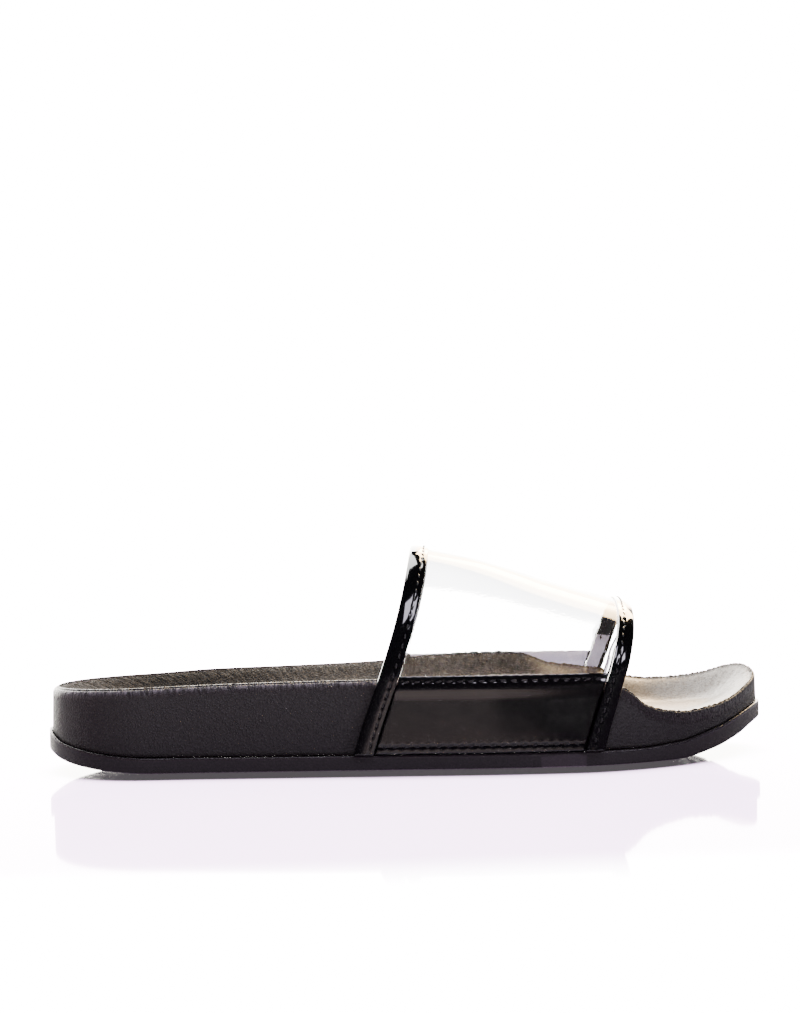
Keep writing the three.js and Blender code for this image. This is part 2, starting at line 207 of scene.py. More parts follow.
def read(rows: Sequence[NamedTuple], column: str, place: Array) -> Array:
    """Reads one column of a table with a cubic that never overshoots.

    The slope at a row is the harmonic mean of the secants beside it, or zero where their signs
    differ. Between two rows the value is their smooth step, plus
    gap * t * (1 - t) * ((1 - t) * first slope - t * second slope).

    Args:
        rows: The table, with its places in the column named at.
        column: The column to read.
        place: Places along the shoe, as shares.

    Returns:
        The column's value at each place.
    """
    at = np.array([row.at for row in rows], float)
    value = np.array([getattr(row, column) for row in rows], float)
    gap = np.diff(at)
    secant = np.diff(value) / gap
    before = np.concatenate([secant[:1], secant])
    after = np.concatenate([secant, secant[-1:]])
    alike = before * after > 0
    slope = np.where(alike, 2 * before * after / np.where(alike, before + after, 1), 0)
    inside = np.clip(place, 0, 1)
    k = np.clip(np.searchsorted(at, inside) - 1, 0, len(gap) - 1)
    t = (inside - at[k]) / gap[k]
    ends = lerp(value[k], value[k + 1], t * t * (3 - 2 * t))
    return ends + gap[k] * t * (1 - t) * ((1 - t) * slope[k] - t * slope[k + 1])


def round_end(distance: Array, reach: float, power: float) -> Array:
    """One at full width, and a superellipse quarter (1 - t^p)^(1/p) down to zero at the end."""
    t = 1 - np.clip(distance / reach, 0, 1)
    return (1 - t**power) ** (1 / power)


def round_section(outer: int, inner: int, turn: int) -> tuple[Array, Array, Array]:
    """A flat section with half-round edges, out over the outer face and back under it.

    Round an edge the shift is the cosine and the level the sine of an angle from pi/2 to -pi/2.

    Args:
        outer: Points on the outer face.
        inner: Points on the inner face.
        turn: Points round each edge.

    Returns:
        The share of the way across, the shift past the edge and the level, from -1 to 1.
    """
    angle = np.linspace(np.pi / 2, -np.pi / 2, turn + 2)[1:-1]
    over, under = np.linspace(0, 1, outer), np.linspace(1, 0, inner)
    share = np.concatenate([over, np.ones(turn), under, np.zeros(turn)])
    shift = np.concatenate([np.zeros(outer), np.cos(angle), np.zeros(inner), -np.cos(angle)])
    level = np.concatenate([np.ones(outer), np.sin(angle), -np.ones(inner), -np.sin(angle)])
    return share, shift, level


@dataclass(frozen=True)
class Outline:
    """Points round the lip, heel, lateral side, tip and medial side, with the inward direction."""

    points: Array
    inward: Array

    @property
    def arc(self) -> Array:
        """Distance round the outline to each point, and its whole length last.

        Returns:
            Distances, one more of them than of the points.
        """
        closed = np.vstack([self.points, self.points[:1]])
        steps = np.linalg.norm(np.diff(closed, axis=0), axis=1)
        return np.concatenate([[0], np.cumsum(steps)])

    def ring(self, inset: Heights, height: Heights) -> Array:
        """Points moved in by inset(x, y) and then set at height(x, y).

        Args:
            inset: How far in.
            height: How high.

        Returns:
            One ring of points.
        """
        shift = inset(self.points[:, 0], self.points[:, 1])
        flat = self.points + self.inward * shift[:, None]
        return np.column_stack([flat, height(flat[:, 0], flat[:, 1])])


@dataclass(frozen=True)
class Last:
    """The shoe's own sizes, and the surfaces that follow from them."""

    length: float
    ball_width: float = 94.5
    heel_width: float = 69.4
    heel_round: float = 36
    heel_power: float = 2.1
    toe_round: Pair = Pair(76, 62)
    toe_power: Pair = Pair(1.6, 2.2)
    tip_shift: float = 13.9
    edge_height: float = 2.5
    band_height: float = 5
    heel_lift: float = 6.4
    toe_spring: float = 10
    crown_run: float = 19
    lip_round: float = 0.6
    ledge: float = 1.1
    seat_inset: float = 7
    wall_lean: float = 0.018
    rim_height: float = 34
    rim_round: float = 2.4
    cup_run: float = 19
    cup_start: float = -3.8
    cup_power: float = 1.2
    floor_height: float = 27
    arch_rise: float = 3.5
    strap_rear: float = 117.8
    strap_front: float = 204.1
    rear_skew: float = 4.4
    front_skew: float = 5.4
    strap_lean: float = 0.285
    rear_bow: float = 2.2
    front_bow: float = 1.3
    bow_power: float = 2.2
    spring: Pair = Pair(34.2, 36.2)
    rear_crest: float = 76.2
    front_crest: float = 54
    shoulder: float = 0.88
    sheet: float = 1
    panel: float = 1.6
    panel_lap: float = 1
    lap_height: float = 6
    lap_step: float = 1.8
    tuck: float = 4.5
    rear_binding_width: float = 6.9
    front_binding_width: float = 6.6
    binding_thickness: float = 2.4
    binding_proud: float = 0.6
    binding_edge: float = 0.3
    slot_depth: float = 2.4
    slot_trace: float = 0.2
    lift_run: float = 8
    slot_start: float = 6
    slot_end: float = 14
    crown: float = 0.3
    clearance: float = 0.3
    wall_share: float = 0.16

    @property
    def strap_length(self) -> float:
        """The strap's length along the shoe, from its rear edge to its front one."""
        return self.strap_front - self.strap_rear

    def outline_y(self, side: Side, x: Array) -> Array:
        """The lip's plan outline on one side: half-width, rounded at the heel and shifted at the tip.

        It is tip + (side * half-width * heel - tip) * toe, where heel and toe round the ends off.

        Args:
            side: The side.
            x: Distances from the heel.

        Returns:
            The outline's y at each x.
        """
        half = lerp(self.heel_width / 2, self.ball_width / 2, read(PLAN_ROWS, side.column, x / self.length))
        heel = round_end(x, self.heel_round, self.heel_power)
        toe = round_end(self.length - x, self.toe_round.of(side), self.toe_power.of(side))
        return self.tip_shift + (side.value * half * heel - self.tip_shift) * toe

    def lift_at(self, x: Array) -> Array:
        """How far the tread has risen, at heel and toe."""
        heel, toe = (read(SOLE_ROWS, column, x / self.length) for column in ("heel", "toe"))
        return self.heel_lift * heel + self.toe_spring * toe

    def edge_at(self, x: Array) -> Array:
        """Height of the outsole's lower edge."""
        return self.edge_height + self.lift_at(x)

    def lip_at(self, x: Array) -> Array:
        """Height of the outsole's lip."""
        return self.edge_at(x) + self.band_height * read(SOLE_ROWS, "band", x / self.length)

    def across(self, x: Array, y: Array) -> Array:
        """How far across the shoe a point lies, from 0 at the lateral lip to 1 at the medial one.

        Args:
            x: Distances from the heel.
            y: Distances across.

        Returns:
            Shares of the way across.
        """
        inside = np.clip(x, 0.001, self.length - 0.001)
        low = self.outline_y(Side.LATERAL, inside)
        high = self.outline_y(Side.MEDIAL, inside)
        return np.clip((y - low) / (high - low), 0, 1)

    def rim_at(self, x: Array, y: Array) -> Array:
        """Height of the footbed's rim, blended smoothly across from side to side.

        Args:
            x: Distances from the heel.
            y: Distances across.

        Returns:
            The rim's heights.
        """
        share = x / self.length
        lateral = read(TOP_ROWS, "lateral", share)
        medial = read(TOP_ROWS, "medial", share)
        return self.rim_height * lerp(lateral, medial, smooth(self.across(x, y), 0, 1))

    def top_at(self, x: Array, y: Array, distance: Array) -> Array:
        """The footbed's top at a distance in from its rim: a smooth step from the rim to the floor.

        Args:
            x: Distances from the heel.
            y: Distances across.
            distance: Distances in from the rim.

        Returns:
            The top's heights.
        """
        floor = self.floor_height * read(TOP_ROWS, "floor", x / self.length)
        arch = self.arch_rise * read(TOP_ROWS, "arch", x / self.length) * self.across(x, y) ** 2
        slope = smooth(distance, self.cup_start, self.cup_run) ** self.cup_power
        return lerp(self.rim_at(x, y), floor + arch, slope)

    def round_at(self, x: Array) -> Array:
        """Radius of the footbed's rounded rim."""
        return self.rim_round * read(TOP_ROWS, "round", x / self.length)

    def wall_inset(self, x: Array, z: Array) -> Array:
        """How far in from the lip the footbed's wall stands at a height."""
        return self.ledge + self.wall_lean * (z - self.lip_at(x))

    def outline(self, per_side: int) -> Outline:
        """Stations round the lip, closer together at heel and tip: x = length * (1 - cos) / 2.

        Args:
            per_side: Stations on each side.

        Returns:
            The outline.
        """
        steps = np.arange(2 * per_side)
        x = self.length * (1 - np.cos(np.pi * steps / per_side)) / 2
        lateral = self.outline_y(Side.LATERAL, x)
        medial = self.outline_y(Side.MEDIAL, x)
        points = np.column_stack([x, np.where(steps <= per_side, lateral, medial)])
        along = np.roll(points, -1, axis=0) - np.roll(points, 1, axis=0)
        along /= np.linalg.norm(along, axis=1, keepdims=True)
        return Outline(points, np.column_stack([-along[:, 1], along[:, 0]]))

    def inner_ring(self, outer: Array, portion: float, height: Callable[..., Array]) -> Array:
        """A ring moved a share of the way from another one to the line along the shoe's middle.

        Args:
            outer: The ring that is moved.
            portion: The share of the way.
            height: The height from x, y and the distance moved.

        Returns:
            The moved ring.
        """
        start = self.heel_width / 2
        x = lerp(start, self.length - start, np.clip(outer[:, 0] / self.length, 0, 1))
        y = (self.outline_y(Side.LATERAL, x) + self.outline_y(Side.MEDIAL, x)) / 2
        px, py = lerp(outer[:, 0], x, portion), lerp(outer[:, 1], y, portion)
        distance = portion * np.hypot(outer[:, 0] - x, outer[:, 1] - y)
        return np.column_stack([px, py, height(px, py, distance)])

    def wall_y(self, side: Side, x: Array, z: Array) -> Array:
        """The footbed's wall at one side, which the strap lies on.

        The inset is square to the outline, so across it is longer by hypot(1, slope).

        Args:
            side: The side.
            x: Distances from the heel.
            z: Heights.

        Returns:
            The wall's y.
        """
        step = 0.5
        slope = (self.outline_y(side, x + step) - self.outline_y(side, x - step)) / (2 * step)
        return self.outline_y(side, x) - side.value * self.wall_inset(x, z) * np.hypot(1, slope)

    def _on_wall(self, side: Side, start: Array, skew: Array, rise: Array) -> Array:
        """A point of the strap's base on a wall, a share of the way from its foot to its spring.

        The line leans along the shoe in proportion to its height.

        Args:
            side: The side.
            start: Where the line over the strap starts, along the shoe.
            skew: How far ahead it is on the medial side.
            rise: The share of the way up.

        Returns:
            Points, with the last axis x, y and z.
        """

        def place(z: Array) -> Array:
            """Where the leaning line is along the shoe, at a height."""
            return start + skew * side.value + self.strap_lean * (z - self.rim_height)

        foot = self.lip_at(place(self.lip_at(start))) + self.clearance
        z = lerp(foot, self.spring.of(side), rise)
        x = place(z)
        return np.stack([x, self.wall_y(side, x, z), z], axis=-1)

    def strap_point(self, along: Array, over: Array) -> Array:
        """A point on the strap's base surface.

        Over the first and last share it climbs a wall in a line. Between them it is an arch:
        with angle from 0 to pi, the height is base + (crest - base) * sin and the way across is
        -cos to the power of shoulder, which makes its shoulders fuller than an ellipse's.

        Args:
            along: Distance from the rear edge.
            over: From 0 at the lateral foot over the arch to 1 at the medial foot.

        Returns:
            Points, with the last axis x, y and z.
        """
        forward = along / self.strap_length
        turned = np.sin(np.pi * np.clip(2 * np.minimum(over, 1 - over), 0, 1))
        climb = np.maximum(turned, 0) ** self.bow_power
        start = self.strap_rear + along + lerp(self.rear_bow, self.front_bow, forward) * climb
        skew = lerp(self.rear_skew, self.front_skew, forward)
        low = self._on_wall(Side.LATERAL, start, skew, np.minimum(over / self.wall_share, 1))
        high = self._on_wall(Side.MEDIAL, start, skew, np.minimum((1 - over) / self.wall_share, 1))
        angle = np.pi * np.clip((over - self.wall_share) / (1 - 2 * self.wall_share), 0, 1)
        turn = -np.sign(np.cos(angle)) * np.abs(np.cos(angle)) ** self.shoulder
        share = (1 + turn) / 2
        base = lerp(low[..., 2], high[..., 2], share)
        crest = lerp(self.rear_crest, self.front_crest, read(CREST_ROWS, "drop", forward))
        z = base + (crest - base) * np.sin(angle)
        x = start + skew * turn + self.strap_lean * (z - self.rim_height)
        arch = np.stack([x, lerp(low[..., 1], high[..., 1], share), z], axis=-1)
        lower = (over <= self.wall_share)[..., None]
        upper = (over >= 1 - self.wall_share)[..., None]
        return np.where(lower, low, np.where(upper, high, arch))

    def strap_normal(self, along: Array, over: Array) -> Array:
        """The outward normal of the strap's base, from central differences.

        Args:
            along: Distance from the rear edge.
            over: The place over the strap.

        Returns:
            Unit normals.
        """
        step, turn = 0.5, 0.004
        forward = self.strap_point(along + step, over) - self.strap_point(along - step, over)
        up = self.strap_point(along, over + turn) - self.strap_point(along, over - turn)
        normal = np.cross(forward, up)
        return normal / np.linalg.norm(normal, axis=-1, keepdims=True)

    def strap_surface(self, along: Array, over: Array, offset: Array) -> Array:
        """The strap's base moved outwards by an offset."""
        along, over, offset = np.broadcast_arrays(along, over, offset)
        return self.strap_point(along, over) + self.strap_normal(along, over) * offset[..., None]

    def rise_at(self, along: Array, over: Array) -> Array:
        """How far the strap has risen off the wall, and zero on it.

        Args:
            along: Distance from the rear edge.
            over: The place over the strap.

        Returns:
            Heights above the spring.
        """
        along, over = np.broadcast_arrays(along, over)
        spring = np.where(over < 0.5, self.spring.lateral, self.spring.medial)
        on_wall = (over <= self.wall_share) | (over >= 1 - self.wall_share)
        return np.where(on_wall, 0, self.strap_point(along, over)[..., 2] - spring)

    def free_of(self, rise: Array) -> Array:
        """Zero on the wall and one where the strap's layers are free of the panel."""
        return smooth(rise, 0, self.lift_run)

    def sheet_base(self, rise: Array) -> Array:
        """Offset of the clear sheet's inner face."""
        middle = self.clearance + (self.binding_thickness - self.sheet) / 2
        return lerp(self.clearance, middle, self.free_of(rise))

    @property
    def lap_base(self) -> float:
        """Offset of the panel's inner face where it covers the clear sheet."""
        return 2 * self.clearance + self.sheet

    @property
    def lap_top(self) -> float:
        """Offset of the panel's outer face there."""
        return self.lap_base + self.panel_lap

    def panel_height(self, side: Side) -> float:
        """A panel's height, from the lip at the strap's middle to the spring."""
        return self.spring.of(side) - float(self.lip_at(np.array(self.strap_rear + self.strap_length / 2)))

    def over_on_wall(self, side: Side, rise: Array | float) -> Array | float:
        """The place over the strap at a share of the way up one of its walls."""
        return rise * self.wall_share if side is Side.LATERAL else 1 - rise * self.wall_share

    def binding_width(self, edge: Edge) -> float:
        """Width of a binding, from the strap's edge."""
        return self.rear_binding_width if edge is Edge.REAR else self.front_binding_width

    def along_from(self, edge: Edge, distance: Array | float) -> Array | float:
        """A distance in from one of the strap's edges, measured from its rear edge."""
        return distance if edge is Edge.REAR else self.strap_length - distance

    def even_overs(self, along: float, count: int, start: float = 0, end: float = 1) -> Array:
        """Values of over at equal distances along a line of the strap.

        Args:
            along: Distance of the line from the rear edge.
            count: How many values.
            start: The first value.
            end: The last value.

        Returns:
            The values.
        """
        fine = np.linspace(start, end, LINE_STEPS)
        points = self.strap_point(np.full_like(fine, along), fine)
        arc = np.concatenate([[0], np.cumsum(np.linalg.norm(np.diff(points, axis=0), axis=1))])
        return np.interp(np.linspace(0, arc[-1], count), arc, fine)

    def over_length(self, along: float, start: float = 0, end: float = 1) -> float:
        """Length of a line over the strap.

        Args:
            along: Distance of the line from the rear edge.
            start: Where it starts.
            end: Where it ends.

        Returns:
            Its length.
        """
        fine = np.linspace(start, end, LENGTH_STEPS)
        points = self.strap_point(np.full_like(fine, along), fine)
        return float(np.linalg.norm(np.diff(points, axis=0), axis=1).sum())


@dataclass(frozen=True)
class Place:
    """Where the shoe's own millimetres lie in the frame's metres."""

    heel: float
    middle: float
    ground: float

    def world(self, points: Array) -> Array:
        """Points in the frame's metres."""
        return points * MM + np.array([self.heel, self.middle, self.ground])


class Ends(Enum):
    """How the first and last ring of a loft are closed."""

    STRIP = "a strip across, between the ring's two sides"
    CAP = "one flat face"


@dataclass
class Loft:
    """A closed body through rings of equally many points.

    Attributes:
        points: Rings, points round a ring, and x, y and z, in millimetres.
        ends: How the first and last ring are closed.
        flip: Turns the faces round, where the rings run the other way.
        uv: A place on the surface for each point, with one more column than points has.
        values: Named values for each point.
        finish_of: Picks a material for each face, given as an index for ring and column.
        end_finish: The material of the faces that close the ends.
    """

    points: Array
    ends: Ends
    flip: bool = False
    uv: Array | None = None
    values: dict[str, Array] = field(default_factory=dict)
    finish_of: Array | None = None
    end_finish: int = 0

    def _quads(self) -> tuple[Array, Array]:
        """Corner numbers of the side faces, and the same with columns not wrapped round.

        Returns:
            For each face its vertices and its places in the surface map.
        """
        rings, count = self.points.shape[:2]
        r, c = np.meshgrid(np.arange(rings - 1), np.arange(count), indexing="ij")
        corners = np.stack([(r, c), (r, c + 1), (r + 1, c + 1), (r + 1, c)])
        flat = corners.reshape(4, 2, -1).transpose(2, 0, 1)
        vertices = flat[..., 0] * count + flat[..., 1] % count
        return vertices, flat[..., 0] * (count + 1) + flat[..., 1]

    def _closing(self, base: int, up: bool) -> list[Array]:
        """Faces that close one end.

        Args:
            base: The ring's first vertex.
            up: Whether it is the last ring.

        Returns:
            The faces.
        """
        count = self.points.shape[1]
        if self.ends is Ends.CAP:
            ring = base + np.arange(count)
            return [ring if up else ring[::-1]]
        half = count // 2
        near = np.arange(half + 1)
        far = (count - near) % count
        quads = np.column_stack([near[1:-2], near[2:-1], far[2:-1], far[1:-2]])
        first = np.array([0, 1, count - 1])
        last = np.array([half - 1, half, half + 1])
        faces = [first, last, *quads]
        return [base + (face if up else face[::-1]) for face in faces]

    def build(self, name: str, place: Place, materials: Sequence[Material]) -> Piece:
        """Makes the mesh object at the origin, with its place in its vertices.

        Args:
            name: The piece's name.
            place: Where the shoe lies in the frame.
            materials: The piece's materials.

        Returns:
            The object, linked to the scene.
        """
        rings, count = self.points.shape[:2]
        quads, wide = self._quads()
        closing = self._closing(0, False) + self._closing((rings - 1) * count, True)
        faces = [*quads, *closing]
        if self.flip:
            faces = [face[::-1] for face in faces]
        starts = np.cumsum([0] + [len(face) for face in faces[:-1]])
        mesh = bpy.data.meshes.new(name)
        mesh.vertices.add(rings * count)
        world = place.world(self.points.reshape(-1, 3))
        mesh.vertices.foreach_set("co", world.astype(np.float32).ravel())
        corners = np.concatenate(faces).astype(np.int32)
        mesh.loops.add(len(corners))
        mesh.loops.foreach_set("vertex_index", corners)
        mesh.polygons.add(len(faces))
        mesh.polygons.foreach_set("loop_start", starts.astype(np.int32))
        mesh.update(calc_edges=True)
        if self.uv is not None:
            layer = mesh.uv_layers.new(name="surface")
            order = wide[:, ::-1] if self.flip else wide
            side = self.uv.reshape(-1, 2)[order.ravel()]
            ends = np.zeros((len(corners) - len(side), 2))
            layer.data.foreach_set("uv", np.vstack([side, ends]).astype(np.float32).ravel())
        for value_name, values in self.values.items():
            attribute = mesh.attributes.new(value_name, "FLOAT", "POINT")
            attribute.data.foreach_set("value", values.astype(np.float32).ravel())
        for material in materials:
            mesh.materials.append(material)
        if self.finish_of is not None:
            picks = np.concatenate([self.finish_of.ravel(), np.full(len(closing), self.end_finish)])
            mesh.polygons.foreach_set("material_index", picks.astype(np.int32))
        mesh.shade_smooth()
        mesh.validate()
        return link(name, mesh)


def link(name: str, mesh: bpy.types.Mesh) -> Piece:
    """Puts a mesh into the scene as an object at the origin.

    Args:
        name: The object's name.
        mesh: Its mesh.

    Returns:
        The object.
    """
    piece = bpy.data.objects.new(name, mesh)
    bpy.context.scene.collection.objects.link(piece)
    return piece


def seat(piece: Piece, slot: str | None, *nodes: str) -> Piece:
    """Rides a piece on the shoe's body and lets it stand for its nodes.

    Args:
        piece: The piece.
        slot: Its material slot, if it has one; not used.
        *nodes: The nodes that it stands for.

    Returns:
        The piece.
    """
    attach(piece, BODY)
    if nodes:
        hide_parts(*nodes)
    LOG.info("%s: %d faces", piece.name, len(piece.data.polygons))
    return piece


class Nodes:
    """A small helper that adds and joins shader nodes in one tree."""

    def __init__(self, tree: bpy.types.NodeTree) -> None:
        """Keeps the tree."""
        self.tree = tree

    def add(
        self, kind: str, inputs: dict[str | int, object] | None = None, **settings: object
    ) -> bpy.types.Node:
        """Adds a node.

        Args:
            kind: The node's type name.
            inputs: Values or sockets for its inputs, by name or number.
            **settings: The node's own properties.

        Returns:
            The node.
        """
        node = self.tree.nodes.new(kind)
        for name, value in settings.items():
            setattr(node, name, value)
        for name, value in (inputs or {}).items():
            if isinstance(value, bpy.types.NodeSocket):
                self.tree.links.new(value, node.inputs[name])
            else:
                node.inputs[name].default_value = value
        return node

    def math(self, operation: str, first: object, second: object, clamp: bool = False) -> Socket:
        """Adds a Math node and returns its output."""
        inputs = {0: first, 1: second}
        return self.add("ShaderNodeMath", inputs, operation=operation, use_clamp=clamp).outputs[0]

    def span(self, value: object, low: float, high: float, start: float = 0, end: float = 1) -> Socket:
        """Maps a value from low..high smoothly onto start..end and returns the output."""
        inputs = {"Value": value, "From Min": low, "From Max": high, "To Min": start, "To Max": end}
        return self.add("ShaderNodeMapRange", inputs, interpolation_type="SMOOTHSTEP").outputs["Result"]

    def noise(self, vector: Socket, scale: object, detail: float, **inputs: float) -> bpy.types.Node:
        """Adds a noise texture."""
        named = {"Vector": vector, "Scale": scale, "Detail": detail, **inputs}
        return self.add("ShaderNodeTexNoise", named)

    def mix(self, share: object, first: object, second: object) -> Socket:
        """Mixes two colours and returns the output."""
        return self.add("ShaderNodeMix", {0: share, 6: first, 7: second}, data_type="RGBA").outputs[2]


def new_group(
    name: str, inputs: dict[str, tuple[str, object]], outputs: dict[str, str]
) -> tuple[Nodes, bpy.types.Node, bpy.types.Node]:
    """Starts a shader node group with named sockets.

    Args:
        name: The group's name.
        inputs: For each input its socket type and default value.
        outputs: For each output its socket type.

    Returns:
        The node helper, the group's input node and its output node.
    """
    tree = bpy.data.node_groups.new(name, "ShaderNodeTree")
    for label, (kind, value) in inputs.items():
        socket = tree.interface.new_socket(name=label, in_out="INPUT", socket_type=kind)
        if value is not None:
            socket.default_value = value
    for label, kind in outputs.items():
        tree.interface.new_socket(name=label, in_out="OUTPUT", socket_type=kind)
    nodes = Nodes(tree)
    return nodes, nodes.add("NodeGroupInput"), nodes.add("NodeGroupOutput")


FLOAT, COLOR, VECTOR = "NodeSocketFloat", "NodeSocketColor", "NodeSocketVector"


class Effects:
    """The effects that several finishes share, each built once as a node group."""

    def __init__(self) -> None:
        """Builds the groups."""
        self.pebble = self._pebble()
        self.fleck = self._fleck()
        self.swell = self._swell()

    @staticmethod
    def _pebble() -> bpy.types.NodeTree:
        """Moulded grain: rounded cells of a Voronoi pattern over a finer noise.

        Returns:
            The node group.
        """
        nodes, start, end = new_group(
            "pebble_grain",
            {"Vector": (VECTOR, None), "Cell": (FLOAT, 1400.0), "Fine": (FLOAT, 0.4)},
            {"Height": FLOAT},
        )
        vector = start.outputs["Vector"]
        warp = nodes.noise(vector, 400.0, 1.0)
        inputs = {0: warp.outputs["Color"], "Scale": 0.0008}
        shift = nodes.add("ShaderNodeVectorMath", inputs, operation="SCALE")
        moved = nodes.add("ShaderNodeVectorMath", {0: vector, 1: shift.outputs[0]})
        cells = nodes.add(
            "ShaderNodeTexVoronoi",
            {"Vector": moved.outputs[0], "Scale": start.outputs["Cell"], "Smoothness": 0.35},
            feature="SMOOTH_F1",
        )
        domes = nodes.span(cells.outputs["Distance"], 0.05, 0.75, 1, 0)
        fine_scale = nodes.math("MULTIPLY", start.outputs["Cell"], 2.6)
        fine = nodes.noise(vector, fine_scale, 2.0)
        added = nodes.math("MULTIPLY", fine.outputs["Fac"], start.outputs["Fine"])
        nodes.tree.links.new(nodes.math("ADD", domes, added), end.inputs["Height"])
        return nodes.tree

    @staticmethod
    def _fleck() -> bpy.types.NodeTree:
        """Small light flecks and slow cloudy changes over a base colour.

        Returns:
            The node group.
        """
        nodes, start, end = new_group(
            "flecks",
            {
                "Vector": (VECTOR, None),
                "Base": (COLOR, (0.02, 0.02, 0.02, 1)),
                "Fleck": (COLOR, (0.1, 0.1, 0.1, 1)),
                "Scale": (FLOAT, 1600.0),
                "Amount": (FLOAT, 0.5),
            },
            {"Color": COLOR, "Mask": FLOAT},
        )
        vector = start.outputs["Vector"]
        points = nodes.noise(vector, start.outputs["Scale"], 2.0, Roughness=0.7)
        sharp = nodes.span(points.outputs["Fac"], 0.56, 0.74)
        cloud = nodes.noise(vector, 60.0, 3.0)
        patchy = nodes.span(cloud.outputs["Fac"], 0.3, 0.7, 0.45, 1)
        spread = nodes.math("MULTIPLY", sharp, patchy)
        mask = nodes.math("MULTIPLY", spread, start.outputs["Amount"], clamp=True)
        colour = nodes.mix(mask, start.outputs["Base"], start.outputs["Fleck"])
        nodes.tree.links.new(colour, end.inputs["Color"])
        nodes.tree.links.new(mask, end.inputs["Mask"])
        return nodes.tree

    @staticmethod
    def _swell() -> bpy.types.NodeTree:
        """The slow uneven surface of a coated sheet, with a faint fine texture on it.

        Returns:
            The node group.
        """
        nodes, start, end = new_group(
            "sheet_swell",
            {"Vector": (VECTOR, None), "Wave": (FLOAT, 60.0), "Skin": (FLOAT, 0.1)},
            {"Height": FLOAT},
        )
        vector = start.outputs["Vector"]
        wave = nodes.noise(vector, start.outputs["Wave"], 1.5, Roughness=0.45)
        skin = nodes.noise(vector, 900.0, 1.0)
        thin = nodes.math("MULTIPLY", skin.outputs["Fac"], start.outputs["Skin"])
        nodes.tree.links.new(nodes.math("ADD", wave.outputs["Fac"], thin), end.inputs["Height"])
        return nodes.tree


class Finish:
    """A material whose shader is a Principled BSDF fed by shared effects."""

    def __init__(self, name: str, constants: dict[str, object]) -> None:
        """Starts the material.

        Args:
            name: The material's name.
            constants: Values that are the same all over the surface, by socket.
        """
        self.material = bpy.data.materials.new(name)
        self.material.use_nodes = True
        self.nodes = Nodes(self.material.node_tree)
        self.shader = self.material.node_tree.nodes["Principled BSDF"]
        for socket, value in constants.items():
            self.shader.inputs[socket].default_value = value

    def coordinates(self) -> Socket:
        """The piece's own object coordinates, in metres."""
        return self.nodes.add("ShaderNodeTexCoord").outputs["Object"]

    def surface(self, stretch: tuple[float, float, float]) -> Socket:
        """The piece's own surface map, stretched."""
        uv = self.nodes.add("ShaderNodeUVMap", uv_map="surface").outputs["UV"]
        return self.nodes.add("ShaderNodeMapping", {"Vector": uv, "Scale": stretch}).outputs["Vector"]

    def value(self, name: str) -> Socket:
        """A named value of the mesh."""
        return self.nodes.add("ShaderNodeAttribute", attribute_name=name).outputs["Fac"]

    def effect(self, group: bpy.types.NodeTree, **inputs: object) -> bpy.types.Node:
        """Places a shared effect with its own values."""
        return self.nodes.add("ShaderNodeGroup", inputs, node_tree=group)

    def flecks(
        self, effects: Effects, base: Colour, fleck: Colour, scale: float, amount: float
    ) -> bpy.types.Node:
        """Places the shared flecks over a base colour.

        Args:
            effects: The shared effects.
            base: The base colour.
            fleck: The flecks' colour.
            scale: The flecks' scale.
            amount: How much of them shows.

        Returns:
            The group's node, with Color and Mask.
        """
        named = {"Base": base, "Fleck": fleck, "Scale": scale, "Amount": amount}
        return self.effect(effects.fleck, Vector=self.coordinates(), **named)

    def grain(self, effects: Effects, cell: float, fine: float) -> Socket:
        """Places the shared pebble grain and returns its height."""
        return self.effect(effects.pebble, Vector=self.coordinates(), Cell=cell, Fine=fine).outputs["Height"]

    def feed(self, socket: str, source: Socket) -> None:
        """Joins a source to one of the shader's sockets."""
        self.nodes.tree.links.new(source, self.shader.inputs[socket])

    def relief(self, *layers: tuple[Socket, float]) -> None:
        """Bumps the surface by layers of height, each with its depth in metres.

        Args:
            *layers: Pairs of a height from 0 to 1 and the depth that it stands for.
        """
        normal = None
        for height, depth in layers:
            inputs: dict[str | int, object] = {"Strength": 1.0, "Distance": depth, "Height": height}
            if normal is not None:
                inputs["Normal"] = normal
            normal = self.nodes.add("ShaderNodeBump", inputs).outputs["Normal"]
        self.feed("Normal", normal)


